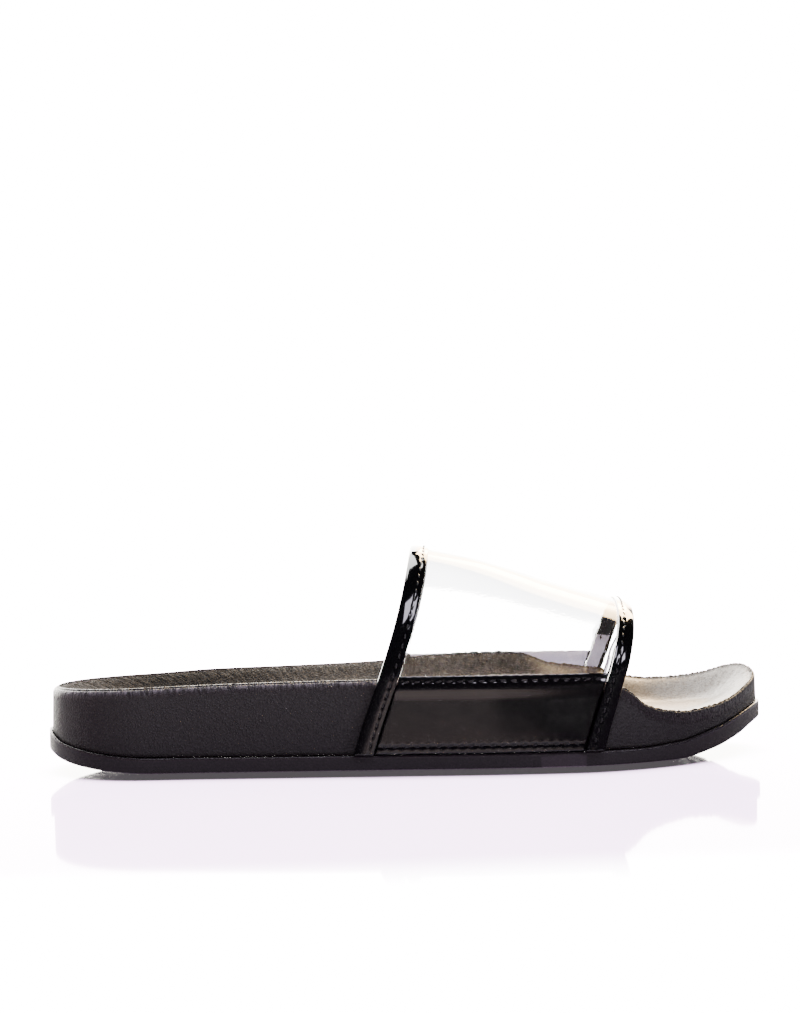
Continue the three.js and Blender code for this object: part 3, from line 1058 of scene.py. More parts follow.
@dataclass(frozen=True)
class FoamFinish:
    """Moulded black foam: pebble grain and light flecks, a napped, wrinkled top, and painted highlight and
    sheen.
    """

    base: Colour = (0.0125, 0.0103, 0.0115, 1)
    # Light flecks, partly the foam's own specks and partly painted glints of its grain.
    fleck: Colour = (0.06, 0.056, 0.056, 1)
    top_base: Colour = (0.0135, 0.0124, 0.0126, 1)
    top_fleck: Colour = (0.055, 0.05, 0.049, 1)
    # Painted highlight: the lighter colour laid on the band just below the rim, where the rounded rim
    # catches the front light.
    painted_rim_highlight: Colour = (0.24, 0.21, 0.245, 1)
    # Painted sheen: a warm lighter colour for the toe's top, standing in for grazing light caught there.
    painted_sheen_base: Colour = (0.1, 0.072, 0.046, 1)
    painted_sheen_fleck: Colour = (0.2, 0.155, 0.105, 1)
    grain_depth: float = 0.00016
    top_grain_depth: float = 0.0004
    crease_depth: float = 0.0005

    @staticmethod
    def _creases(finish: Finish) -> Socket:
        """Wrinkles on the surface map: a distorted noise, drawn out across the rim.

        Args:
            finish: The finish that they are for.

        Returns:
            Their height, from 0 to 1.
        """
        surface = finish.surface((1.0, 0.22, 1.0))
        noise = finish.nodes.noise(surface, 900.0, 3.0, Roughness=0.6, Distortion=0.6)
        return finish.nodes.span(noise.outputs["Fac"], 0.3, 0.7)

    def wall(self, effects: Effects) -> Material:
        """The side wall's finish, with a painted highlight below the rim.

        Args:
            effects: The shared effects.

        Returns:
            The material.
        """
        finish = Finish("foam_wall", {"Specular IOR Level": 0.5})
        nodes = finish.nodes
        # The wall's light flecks are partly specks in the foam and partly painted glints of its grain.
        flecks = finish.flecks(effects, self.base, self.fleck, 1500.0, 0.55)
        near_rim = finish.value("near_rim")
        dull = nodes.span(flecks.outputs["Mask"], 0, 1, 0.55, 0.4)
        finish.feed("Roughness", nodes.math("SUBTRACT", dull, nodes.math("MULTIPLY", near_rim, 0.22)))
        creased = self._creases(finish)
        streaks = nodes.math("MULTIPLY", creased, near_rim)
        # Painted highlight: the creases in the band below the rim are coloured light, standing in for the
        # front light caught on the rounded rim.
        rim_highlight_mask = nodes.math("MULTIPLY", creased, finish.value("painted_rim_highlight"))
        finish.feed("Base Color", nodes.mix(rim_highlight_mask, flecks.outputs["Color"], self.painted_rim_highlight))
        finish.relief((finish.grain(effects, 1500.0, 0.5), self.grain_depth), (streaks, self.crease_depth))
        return finish.material

    def top(self, effects: Effects) -> Material:
        """The napped top's finish, with wrinkles that run in from the rim and painted sheen on the toe.

        Args:
            effects: The shared effects.

        Returns:
            The material.
        """
        finish = Finish(
            "foam_top",
            {
                "Specular IOR Level": 0.05,
                "Coat Roughness": 0.36,
                "Coat IOR": 1.5,
                "Sheen Weight": 0.04,
                "Sheen Roughness": 0.3,
                "Sheen Tint": (1.0, 0.94, 0.86, 1.0),
            },
        )
        nodes = finish.nodes
        flecks = finish.flecks(effects, self.top_base, self.top_fleck, 1100.0, 0.8)
        folded = nodes.math("MULTIPLY", self._creases(finish), finish.value("outer_part"))
        shade = nodes.mix(nodes.math("MULTIPLY", folded, 0.35), flecks.outputs["Color"], self.top_fleck)
        # Painted sheen: the toe's top is coloured warm and light where grazing light catches it; a real coat
        # also makes it glossier there.
        toe_gloss_and_painted_sheen = finish.value("toe_gloss_and_painted_sheen")
        sheen_colour = nodes.mix(flecks.outputs["Mask"], self.painted_sheen_base, self.painted_sheen_fleck)
        finish.feed("Base Color", nodes.mix(toe_gloss_and_painted_sheen, shade, sheen_colour))
        finish.feed("Roughness", nodes.span(folded, 0, 1, 0.9, 0.7))
        grain = finish.grain(effects, 1150.0, 0.7)
        pitted = nodes.span(grain, 0.25, 0.6, 0.5, 1)
        finish.feed("Coat Weight", nodes.math("MULTIPLY", toe_gloss_and_painted_sheen, pitted))
        deeper = nodes.math("ADD", nodes.math("MULTIPLY", finish.value("near_rim"), 0.75), 0.25)
        streaks = nodes.math("MULTIPLY", folded, deeper)
        finish.relief((grain, self.top_grain_depth), (streaks, self.crease_depth))
        return finish.material


@dataclass(frozen=True)
class RubberFinish:
    """Smooth satin black rubber with a faint moulded skin."""

    base: Colour = (0.018, 0.0152, 0.0168, 1)
    fleck: Colour = (0.06, 0.055, 0.055, 1)
    grain_depth: float = 0.00005

    def material(self, effects: Effects) -> Material:
        """The outsole's finish.

        Args:
            effects: The shared effects.

        Returns:
            The material.
        """
        finish = Finish("sole_rubber", {"Specular IOR Level": 0.45})
        flecks = finish.flecks(effects, self.base, self.fleck, 1300.0, 0.25)
        finish.feed("Base Color", flecks.outputs["Color"])
        lip = finish.nodes.math("MULTIPLY", finish.value("lip"), 0.26)
        dull = finish.nodes.span(flecks.outputs["Mask"], 0, 0.3, 0.52, 0.42)
        finish.feed("Roughness", finish.nodes.math("SUBTRACT", dull, lip))
        finish.relief((finish.grain(effects, 1700.0, 0.8), self.grain_depth))
        return finish.material


@dataclass(frozen=True)
class PatentFinish:
    """High-gloss black coated sheet, with slow waves under a clear coat."""

    base: Colour = (0.0009, 0.0009, 0.0011, 1)
    wave_depth: float = 0.00013

    def material(self, effects: Effects) -> Material:
        """The patent pieces' outer finish.

        Args:
            effects: The shared effects.

        Returns:
            The material.
        """
        constants = {"Specular IOR Level": 1.0, "Coat Weight": 1.0, "Coat Roughness": 0.03}
        finish = Finish("patent", {"Base Color": self.base, **constants})
        vector = finish.coordinates()
        swell = finish.effect(effects.swell, Vector=vector, Wave=110.0, Skin=0.02)
        finish.relief((swell.outputs["Height"], self.wave_depth))
        worn = finish.effect(effects.fleck, Vector=vector, Scale=700.0, Amount=1.0)
        finish.feed("Roughness", finish.nodes.span(worn.outputs["Mask"], 0, 1, 0.07, 0.16))
        return finish.material


@dataclass(frozen=True)
class LiningFinish:
    """Brushed cloth on the strap's inner faces."""

    name: str
    base: Colour
    fleck: Colour
    nap_depth: float = 0.0001

    def material(self, effects: Effects) -> Material:
        """The lining's finish: a fine nap with flecks and sheen.

        Args:
            effects: The shared effects.

        Returns:
            The material.
        """
        constants = {"Specular IOR Level": 0.2, "Sheen Weight": 0.05, "Sheen Roughness": 0.5}
        finish = Finish(self.name, constants)
        flecks = finish.flecks(effects, self.base, self.fleck, 1500.0, 0.9)
        finish.feed("Base Color", flecks.outputs["Color"])
        finish.feed("Roughness", finish.nodes.span(flecks.outputs["Mask"], 0, 1, 0.85, 0.7))
        finish.relief((finish.grain(effects, 1800.0, 1.0), self.nap_depth))
        return finish.material


# The pale lining's lavender is partly the lining's own colour and partly a painted reflection of the
# lavender front light.
PALE_LINING_AND_REFLECTION = LiningFinish("pale_lining_and_reflection", (0.84, 0.79, 0.93, 1), (0.95, 0.93, 0.98, 1))
DARK_LINING = LiningFinish("dark_lining", (0.04, 0.042, 0.043, 1), (0.12, 0.125, 0.125, 1))


@dataclass(frozen=True)
class ClearFinish:
    """Clear soft plastic."""

    tint: Colour = (0.985, 0.985, 0.995, 1)
    wave_depth: float = 0.0001

    def material(self, effects: Effects) -> Material:
        """The clear sheet's finish: plain transmission, and light passes it to what lies behind.

        Args:
            effects: The shared effects.

        Returns:
            The material.
        """
        constants = {
            "Base Color": self.tint,
            "Metallic": 0.0,
            "Transmission Weight": 1.0,
            "IOR": 1.42,
        }
        finish = Finish("clear_sheet", constants)
        swell = finish.effect(effects.swell, Vector=finish.coordinates(), Wave=45.0, Skin=0.05)
        finish.relief((swell.outputs["Height"], self.wave_depth))
        finish.feed("Roughness", finish.nodes.span(swell.outputs["Height"], 0.3, 0.8, 0.01, 0.04))
        light = finish.nodes.add("ShaderNodeLightPath")
        passed = finish.nodes.math("MULTIPLY", light.outputs["Is Shadow Ray"], 0.92)
        finish.feed("Alpha", finish.nodes.math("SUBTRACT", 1.0, passed))
        return finish.material


@dataclass(frozen=True)
class ThreadFinish:
    """Twisted black thread."""

    base: Colour = (0.003, 0.0029, 0.0033, 1)
    fleck: Colour = (0.018, 0.017, 0.019, 1)
    twist_depth: float = 0.00006

    def material(self, effects: Effects) -> Material:
        """The stitches' finish.

        Args:
            effects: The shared effects.

        Returns:
            The material.
        """
        finish = Finish("thread", {"Specular IOR Level": 0.5, "Sheen Weight": 0.05})
        flecks = finish.flecks(effects, self.base, self.fleck, 2500.0, 1.0)
        finish.feed("Base Color", flecks.outputs["Color"])
        finish.feed("Roughness", finish.nodes.span(flecks.outputs["Mask"], 0, 1, 0.42, 0.3))
        finish.relief((finish.grain(effects, 3500.0, 0.3), self.twist_depth))
        return finish.material


@dataclass
class Outsole:
    """The cupped rubber outsole, with its plain grooved tread."""

    last: Last
    place: Place
    per_side: int = 300
    tread_rings: int = 44
    groove_pitch: float = 7.5
    groove_width: float = 1.5
    groove_depth: float = 0.9
    groove_wave: float = 2.2
    tread_border: float = 7
    tread_wave_reach: float = 6
    inner_share: float = 0.985
    crown_rings: int = 24
    edge_inset: float = 0.9
    turn_rings: int = 5
    band_shares: tuple[float, ...] = (0.2, 0.5, 0.8)
    lip_width: float = 0.4
    seat_share: float = 0.6

    def _grooved(self, x: Array, y: Array, inset: Array) -> Array:
        """Height of the underside: flat, cut by wavy cross grooves inside a plain border.

        The grooves are where the distance to the nearest multiple of the pitch, along
        x + wave * sin(y / reach), is less than half a groove's width.

        Args:
            x: Distances from the heel.
            y: Distances across.
            inset: Distances in from the lip.

        Returns:
            How far the surface is cut up into the sole.
        """
        wave = x + self.groove_wave * np.sin(y / self.tread_wave_reach)
        off = np.abs((wave / self.groove_pitch) % 1 - 0.5) * self.groove_pitch
        cut = 1 - smooth(off, self.groove_width * 0.3, self.groove_width * 0.8)
        inner = smooth(inset, self.tread_border - 1, self.tread_border + 1)
        return self.groove_depth * cut * inner

    def build(self) -> Loft:
        """Rings from the middle of the tread, out to the edge, up the band and over the ledge.

        The band is straight between two corners, which are quarter circles.

        Returns:
            The outsole's loft.
        """
        last = self.last
        outline = last.outline(self.per_side)

        def ring(inset: float, height: Heights) -> Array:
            """A ring at one inset all round."""
            return outline.ring(lambda x, y: np.full_like(x, inset), height)

        def crowned(inset: float) -> Array:
            """A ring of the crowned tread: its lift, its straight rise to the edge and its grooves.

            Args:
                inset: How far in it lies.

            Returns:
                The ring.
            """
            rise = last.edge_height * (1 - inset / last.crown_run)
            return ring(
                inset, lambda x, y: last.lift_at(x) + rise + self._grooved(x, y, np.full_like(x, inset))
            )

        tread = crowned(last.crown_run)
        rings = [
            last.inner_ring(
                tread, portion, lambda x, y, d: last.lift_at(x) + self._grooved(x, y, last.crown_run + d)
            )
            for portion in np.linspace(self.inner_share, 0, self.tread_rings)[:-1]
        ]
        rings.append(tread)
        insets = np.linspace(last.crown_run, self.edge_inset, self.crown_rings)[1:]
        rings += [crowned(inset) for inset in insets]
        corner = last.lip_round
        turn = np.linspace(0, np.pi / 2, self.turn_rings)
        for angle in turn:
            turned = corner * (1 - np.cos(angle))
            rings.append(ring(corner * (1 - np.sin(angle)), lambda x, y: last.edge_at(x) + turned))
        for share in self.band_shares:
            rings.append(
                ring(0, lambda x, y: lerp(last.edge_at(x) + corner, last.lip_at(x) - corner, share))
            )
        for angle in turn:
            turned = corner * (1 - np.sin(angle))
            rings.append(ring(corner * (1 - np.cos(angle)), lambda x, y: last.lip_at(x) - turned))
        for inset in (last.ledge + self.lip_width, last.ledge + last.seat_inset):
            rings.append(ring(inset, lambda x, y: last.lip_at(x)))
        rings.append(last.inner_ring(rings[-1], self.seat_share, lambda x, y, d: last.lip_at(x)))
        lip = np.zeros((len(rings), 2 * self.per_side))
        lip[-3 - len(turn) : -2] = 1
        return Loft(np.stack(rings), Ends.STRIP, values={"lip": lip})

    def dress(self, effects: Effects) -> Piece:
        """Builds the piece and gives it its finish.

        Args:
            effects: The shared effects.

        Returns:
            The piece.
        """
        material = RubberFinish().material(effects)
        piece = self.build().build("outsole_band_and_tread", self.place, [material])
        return seat(piece, "outsole_rubber", "outsole")


@dataclass
class Footbed:
    """The moulded foam footbed: wall, rounded rim, cup, arch and scooped toe."""

    last: Last
    place: Place
    per_side: int = 480
    wall_rings: int = 18
    round_rings: int = 22
    top_rings: int = 54
    parting_angle: float = 1.05
    parting_depth: float = 0.5
    parting_width: float = 0.13
    fringe_height: float = 0.5
    fringe_along: Span = (125, 160)
    fringe_turn: Span = (0.8, 1.3)
    fringe_in: Span = (0, 1.5)
    fold_pitch: float = 4.6
    fold_depth: float = 0.14
    fold_start: float = 3
    fold_reach: float = 9
    toe_calm: float = 0.75
    # Where the toe's coat and its painted sheen come in along the shoe.
    toe_gloss_and_sheen_along: Span = (176, 206)
    # Where the painted highlight lies below the rim, and where it fades along the shoe.
    highlight_below: float = 2.3
    highlight_width: float = 1.1
    highlight_along: Span = (115, 150)
    rim_inside: Span = (4, 13)
    rim_outside: Span = (-5.5, -3.8)
    middle: Span = (0.45, 0.8)
    seat_share: float = 0.6
    inner_share: float = 0.985
    top_spacing: float = 1.25

    def _folds(self, arc: Array, distance: Array, calm: Array) -> Array:
        """Soft creases that run in from the rim, strongest on the cup's slope.

        Two sine waves round the rim, of unlike length, are added and fade with the distance in.

        Args:
            arc: Distances round the rim.
            distance: Distances in from it.
            calm: The share of the depth that is left.

        Returns:
            Heights to add.
        """
        first = np.sin(2 * np.pi * arc / self.fold_pitch + 0.35 * distance)
        second = np.sin(2 * np.pi * arc / (self.fold_pitch * 1.83) - 0.22 * distance)
        fade = smooth(distance, 0.6, self.fold_start) * bump(distance - self.fold_start, self.fold_reach)
        return self.fold_depth * (0.6 * first + 0.4 * second) * fade * calm

    def build(self) -> Loft:
        """Rings from the middle of the underside, out, up the wall, over the rim and in over the top.

        The nap is a random height from 0 to its full one at each station, and grows to the toe by a
        smooth step. Creases are calmed there by the same step that marks the toe's gloss and painted
        sheen. The values near_rim, toe_gloss_and_painted_sheen and outer_part are smooth steps of the
        distance over the rim, of x and of the share of the way in. The painted_rim_highlight value is a
        bell curve below the rim that fades along the shoe; it marks where a highlight is painted.

        Returns:
            The footbed's loft, with the distance round and over it as its surface map.
        """
        last = self.last
        outline = last.outline(self.per_side)
        arc = outline.arc

        fringe = self.fringe_height * np.random.default_rng(5).uniform(0, 1, len(outline.points))
        fringe = fringe * smooth(outline.points[:, 0], *self.fringe_along)
        calm = 1 - self.toe_calm * smooth(outline.points[:, 0], *self.toe_gloss_and_sheen_along)

        def seat_height(x: Array, y: Array) -> Array:
            """Height of the footbed's underside in the cup."""
            return last.lip_at(x) + last.clearance

        def shoulder(angle: float) -> Array:
            """A ring of the rounded rim, with its groove as a bell curve of the angle.

            Args:
                angle: From zero at the wall's top to a right angle at the rim.

            Returns:
                The ring.
            """
            groove = float(bump(np.array(angle - self.parting_angle), self.parting_width))
            reach = 1 - self.parting_depth * groove / last.rim_round
            across, up = 1 - reach * math.cos(angle), 1 - reach * math.sin(angle)
            nap = fringe * float(smooth(np.array(angle), *self.fringe_turn))
            return outline.ring(
                lambda x, y: last.wall_inset(x, last.rim_at(x, y)) + last.round_at(x) * across,
                lambda x, y: last.rim_at(x, y) - last.round_at(x) * up + nap,
            )

        base = outline.ring(lambda x, y: np.full_like(x, last.ledge + last.seat_inset), seat_height)
        rim = shoulder(math.pi / 2)
        foot = outline.ring(lambda x, y: np.full_like(x, last.ledge), seat_height)
        first = shoulder(0)
        rings = [last.inner_ring(base, self.seat_share, lambda x, y, d: seat_height(x, y)), base]
        rings += [lerp(foot, first, share) for share in np.linspace(0, 1, self.wall_rings)[:-1]]
        rings += [shoulder(angle) for angle in np.linspace(0, math.pi / 2, self.round_rings)[:-1]]
        wall_count = len(rings)
        rings.append(rim)
        portions = np.linspace(0, 1, self.top_rings + 1)[1:] ** self.top_spacing * self.inner_share

        def top(x: Array, y: Array, d: Array) -> Array:
            """Height of the top, with its creases and with the nap that dies away inwards."""
            nap = fringe * (1 - smooth(d, *self.fringe_in))
            return last.top_at(x, y, d) + self._folds(arc[:-1], d, calm) + nap

        rings += [last.inner_ring(rim, portion, top) for portion in portions]
        points = np.stack(rings)
        steps = np.linalg.norm(np.diff(points, axis=0), axis=2)
        over = np.vstack([np.zeros((1, points.shape[1])), np.cumsum(steps, axis=0)])
        over -= over[wall_count]
        over = np.column_stack([over, over[:, :1]])
        uv = np.stack([np.broadcast_to(arc, over.shape), over], axis=-1) * MM
        inward = over[:, :-1]
        near_rim = (1 - smooth(inward, *self.rim_inside)) * smooth(inward, *self.rim_outside)
        share = np.concatenate([np.zeros(wall_count + 1), portions])[:, None]
        # The band that marks where the wall's finish paints its highlight below the rim.
        painted_rim_highlight = bump(inward + self.highlight_below, self.highlight_width)
        values = {
            "near_rim": near_rim,
            "toe_gloss_and_painted_sheen": smooth(points[..., 0], *self.toe_gloss_and_sheen_along),
            "painted_rim_highlight": painted_rim_highlight * (1 - smooth(points[..., 0], *self.highlight_along)),
            "outer_part": np.broadcast_to(1 - smooth(share, *self.middle), near_rim.shape),
        }
        finish_of = np.zeros((len(rings) - 1, points.shape[1]))
        finish_of[wall_count - 2 :] = 1
        return Loft(points, Ends.STRIP, uv=uv, values=values, finish_of=finish_of, end_finish=1)

    def dress(self, effects: Effects) -> Piece:
        """Builds the piece and gives it its two finishes.

        Args:
            effects: The shared effects.

        Returns:
            The piece.
        """
        foam = FoamFinish()
        loft = self.build()
        piece = loft.build("footbed_moulding", self.place, [foam.wall(effects), foam.top(effects)])
        return seat(piece, "footbed_foam", "footbed")


@dataclass
class StitchRow:
    """A row of stitches: where its line runs, and which way is out."""

    points: Array
    normals: Array


@dataclass
class Stitching:
    """Lockstitch rows, each stitch a short thread that dives into the sheet at both ends."""

    place: Place
    pitch: float = 3.5
    length_share: float = 0.78
    width: float = 0.62
    height: float = 0.42
    slant: float = 0.12
    sunk: float = 0.55
    steps: int = 7
    sides: int = 8

    def _row(self, row: StitchRow) -> tuple[Array, Array]:
        """Vertices and faces of one row.

        A stitch runs along the row for its length and follows sin(pi t) above the sheet. Its
        section is an ellipse that thins to nothing at both ends, as the square root of sin(pi t).

        Args:
            row: The row.

        Returns:
            The vertices and the side faces.
        """
        arc = np.concatenate([[0], np.cumsum(np.linalg.norm(np.diff(row.points, axis=0), axis=1))])
        count = max(int(arc[-1] // self.pitch), 1)
        centres = (np.arange(count) + 0.5) * arc[-1] / count
        t = np.linspace(0.02, 0.98, self.steps)
        at = centres[:, None] + (t - 0.5) * self.pitch * self.length_share
        path = np.stack([np.interp(at, arc, row.points[:, k]) for k in range(3)], axis=-1)
        out = np.stack([np.interp(at, arc, row.normals[:, k]) for k in range(3)], axis=-1)
        out /= np.linalg.norm(out, axis=-1, keepdims=True)
        along = path[:, -1:] - path[:, :1]
        along = np.broadcast_to(along / np.linalg.norm(along, axis=-1, keepdims=True), path.shape)
        beside = np.cross(out, along)
        rise = np.sin(np.pi * t)[None, :, None]
        thin = np.sqrt(rise)[..., None, :]
        slanted = beside * (t - 0.5)[None, :, None] * self.slant * self.pitch
        middle = path + out * (rise - self.sunk) * self.height + slanted
        angle = np.linspace(0, 2 * np.pi, self.sides, endpoint=False)[:, None]
        flat = beside[:, :, None] * np.cos(angle) * self.width / 2
        section = flat + out[:, :, None] * np.sin(angle) * self.height / 2
        vertices = (middle[:, :, None] + section * thin).reshape(-1, 3)
        counts = (count, self.steps - 1, self.sides)
        s, r, c = np.meshgrid(*(np.arange(number) for number in counts), indexing="ij")

        def index(ring: Array, column: Array) -> Array:
            """Vertex numbers, with the columns wrapped round."""
            return ((s * self.steps + ring) * self.sides + column % self.sides).ravel()

        faces = np.column_stack([index(r, c), index(r, c + 1), index(r + 1, c + 1), index(r + 1, c)])
        return vertices, faces

    def build(self, name: str, rows: Sequence[StitchRow], material: Material) -> Piece:
        """Joins rows into one mesh.

        Args:
            name: The piece's name.
            rows: The rows.
            material: The thread's finish.

        Returns:
            The object.
        """
        made = [self._row(row) for row in rows]
        bases = np.cumsum([0] + [len(vertices) for vertices, _ in made[:-1]])
        vertices = np.vstack([vertices for vertices, _ in made])
        sides = np.vstack([faces + base for (_, faces), base in zip(made, bases)])
        ring = np.arange(self.sides)
        stitches = np.arange(len(vertices) // (self.steps * self.sides)) * self.steps * self.sides
        first = stitches[:, None] + ring[::-1]
        last = stitches[:, None] + (self.steps - 1) * self.sides + ring
        mesh = bpy.data.meshes.new(name)
        faces = sides.tolist() + first.tolist() + last.tolist()
        mesh.from_pydata(self.place.world(vertices).tolist(), [], faces)
        mesh.materials.append(material)
        mesh.shade_smooth()
        mesh.update()
        return link(name, mesh)


@dataclass
class Strap:
    """The strap: clear vamp, two patent panels, two folded bindings and their stitches."""

    last: Last
    place: Place
    over_steps: int = 400
    sheet_steps: int = 240
    sheet_points: int = 60
    sheet_turn: int = 5
    panel_points: tuple[int, int] = (150, 40)
    panel_turn: int = 7
    panel_rings: int = 90
    panel_round: float = 0.7
    border_round: float = 0.5
    border_share: float = 0.25
    face_points: int = 30
    fold_points: int = 12
    inner_points: int = 15
    binding_pucker: float = 0.3
    pale_to: float = 6.5
    outer_row: Span = (0.012, 0.988)
    inner_row: Span = (0.2, 0.8)
    row_inset: float = 1.4
    row_steps: tuple[int, int] = (300, 200)
    stitch_inset: float = 2.0
    channel_depth: float = 0.17
    channel_width: float = 0.55
    panel_top_inset: float = 1.9
    panel_foot_inset: float = 2.6
    pillow: float = 0.12
    filled: float = 0.5
    fairing: float = 2.6
    top_turn: float = 0.75
    turn_height: float = 4.8
    pillow_reach: float = 1.6
    pucker: float = 0.07

    def vamp(self) -> Loft:
        """The clear sheet, its edges in the bindings' slots and behind the panels.

        Returns:
            A loft of flat sections with half-round edges.
        """
        last = self.last

        tucks = [last.over_on_wall(side, 1 - last.tuck / last.panel_height(side)) for side in Side]
        overs = last.even_overs(last.strap_length / 2, self.sheet_steps, *tucks)

        def edge_along(edge: Edge) -> Array:
            """Where the sheet ends: beside the binding on a wall, and in its slot above.

            Args:
                edge: The strap's edge.

            Returns:
                Distances from the rear edge.
            """
            width = last.binding_width(edge)
            rise = last.rise_at(last.along_from(edge, width), overs)
            slotted = smooth(rise, last.slot_start, last.slot_end)
            return last.along_from(edge, width + last.clearance - slotted * last.slot_depth)

        half = last.sheet / 2
        rear, front = edge_along(Edge.REAR) + half, edge_along(Edge.FRONT) - half
        share, shift, level = round_section(self.sheet_points, self.sheet_points, self.sheet_turn)
        along = lerp(rear[:, None], front[:, None], share) + shift * half
        over = np.broadcast_to(overs[:, None], along.shape)
        base = last.sheet_base(last.rise_at(along, over)) + half
        points = last.strap_surface(along, over, base + level * half)
        return Loft(points, Ends.CAP)

    def _panel_levels(self, side: Side, rises: Array) -> tuple[Array, Array]:
        """How far a panel's inner and outer face lie from the strap's inner surface.

        Over the sheet's edge both step out by a smooth curve. The outer face falls by an exponential
        at both borders, by a power curve in its upper band, and by a bell curve in each channel.

        Args:
            side: The side that the panel lies on.
            rises: Shares of the panel's height, from its foot.

        Returns:
            The inner and the outer level.
        """
        last = self.last
        tall = last.panel_height(side)
        lap = 1 - last.lap_height / tall
        step = last.lap_step / 2 / tall
        lapped = smooth(rises, lap - step, lap + step)
        faired = smooth(rises, lap - self.fairing / tall, lap + self.fairing / tall)
        inner = lerp(last.clearance, last.lap_base, lapped)
        outer = lerp(lerp(last.clearance + last.panel, last.lap_top, self.filled), last.lap_top, faired)
        low, high = rises * tall, (1 - rises) * tall
        outer = outer - self.pillow * (np.exp(-low / self.pillow_reach) + np.exp(-high / self.pillow_reach))
        outer = outer - self.top_turn * np.clip(1 - high / self.turn_height, 0, 1) ** 1.5
        for distance, inset in ((low, self.panel_foot_inset), (high, self.panel_top_inset)):
            outer = outer - self.channel_depth * bump(distance - inset, self.channel_width)
        return inner, outer

    def panel(self, side: Side) -> Loft:
        """A patent panel: rounded edges, a stitched channel above and below, a soft pillow between.

        It thins to its top and foot by a quarter circle. Beside the channels its outer face is
        puckered by a cosine of the stitches' pitch times a bell curve.

        Args:
            side: The side that it lies on.

        Returns:
            Its loft, with the inner face marked for the pale lining, whose colour partly paints a
            reflection.
        """
        last = self.last
        tall = last.panel_height(side)
        ends = np.array([0.0, 0.06, 0.2, 0.45]) * last.panel_lap / tall
        rises = np.unique(np.concatenate([np.linspace(0, 1, self.panel_rings), ends, 1 - ends]))
        low, high = rises * tall, (1 - rises) * tall
        inner, outer = self._panel_levels(side, rises)
        closed = np.sqrt(1 - np.clip(1 - np.minimum(low, high) / self.border_round, 0, 1) ** 2)
        half = (outer - inner) / 2 * np.maximum(closed, self.border_share)
        middle = (inner + outer) / 2
        near_channel = sum(
            bump(distance - inset, 2 * self.channel_width)
            for distance, inset in ((low, self.panel_foot_inset), (high, self.panel_top_inset))
        )
        rear, front = (last.along_from(edge, last.binding_width(edge) + last.clearance) for edge in Edge)
        count, inside = self.panel_points
        share, shift, level = round_section(count, inside, self.panel_turn)
        along = lerp(rear + self.panel_round, front - self.panel_round, share) + shift * self.panel_round
        along, rise = np.broadcast_arrays(along[None, :], rises[:, None])
        over = last.over_on_wall(side, rise)
        pucker = self.pucker * np.cos(2 * np.pi * (along - rear) / Stitching.pitch) * near_channel[:, None]
        offset = middle[:, None] + half[:, None] * level + pucker * (level > 0.9)
        points = last.strap_surface(along, over, offset)
        finish_of = np.zeros((len(rises) - 1, len(share)))
        start = count + self.panel_turn
        finish_of[:, start : start + inside] = 1
        return Loft(points, Ends.CAP, flip=side is Side.MEDIAL, finish_of=finish_of)

    def _binding_levels(self, rise: Array) -> tuple[Array, Array]:
        """Offsets of a binding's inner and outer face.

        Args:
            rise: How far the strap has risen off the wall.

        Returns:
            The inner and the outer offset.
        """
        last = self.last
        over_panel = last.lap_top + last.binding_proud
        high = lerp(over_panel, last.clearance + last.binding_thickness, last.free_of(rise))
        return np.full_like(high, last.clearance), high

    def binding(self, edge: Edge) -> Loft:
        """A strip folded round one edge, with a stitched channel and the slot for the clear sheet.

        The section runs over the crowned outer face, round the fold as a half circle, back along
        the inner face and into the slot.

        Args:
            edge: The strap's edge that it is folded over.

        Returns:
            Its loft, with the inner face marked for the pale lining low down and the dark
            lining above; the pale lining's colour partly paints a reflection.
        """
        last = self.last
        width = last.binding_width(edge)
        line = last.along_from(edge, width)
        overs = last.even_overs(line, self.over_steps)
        arc = np.linspace(0, last.over_length(line), self.over_steps)
        rise = last.rise_at(line, overs)
        low, high = (level[:, None] for level in self._binding_levels(rise))
        fold = (high - low) / 2
        slotted = smooth(rise, last.slot_start, last.slot_end)[:, None]
        base = last.sheet_base(rise)[:, None]
        slot_low = lerp(low + fold * 0.6, base - last.clearance, slotted)
        slot_high = lerp(low + fold * 1.4, base + last.sheet + last.clearance, slotted)
        floor = width - lerp(last.slot_trace, last.slot_depth, slotted)
        edge_round = last.binding_edge
        turn = np.linspace(0, np.pi / 2, 4)
        outer_across = lerp(width - edge_round, fold, np.linspace(0, 1, self.face_points))
        centre = (outer_across - fold) / (width - edge_round - fold)
        puckered = 1 + self.binding_pucker * np.cos(2 * np.pi * arc / Stitching.pitch)[:, None]
        channel = bump(outer_across - (width - self.stitch_inset), self.channel_width)
        groove = self.channel_depth * channel * puckered
        outer_level = high + last.crown * (1 - (2 * centre - 1) ** 2) - groove
        bend = np.linspace(np.pi / 2, -np.pi / 2, self.fold_points + 1)[1:]
        inner_across = lerp(fold, width - edge_round, np.linspace(0, 1, self.inner_points + 1)[1:])
        across = [
            width + 0 * slot_high,
            width - edge_round + edge_round * np.cos(turn)[:-1] + 0 * high,
            outer_across,
            fold * (1 - np.cos(bend)),
            inner_across,
            width + 0 * low,
            width + 0 * slot_low,
            floor,
            floor,
        ]
        out = [
            slot_high,
            high - edge_round * (1 - np.sin(turn))[:-1],
            outer_level,
            low + fold + fold * np.sin(bend),
            low + 0 * inner_across,
            low + edge_round / 2,
            slot_low,
            slot_low,
            slot_high,
        ]
        start = sum(part.shape[1] for part in across[:4])
        across, out = np.hstack(across), np.hstack(out)
        points = last.strap_surface(last.along_from(edge, across), overs[:, None], out)
        finish_of = np.zeros((self.over_steps - 1, across.shape[1]))
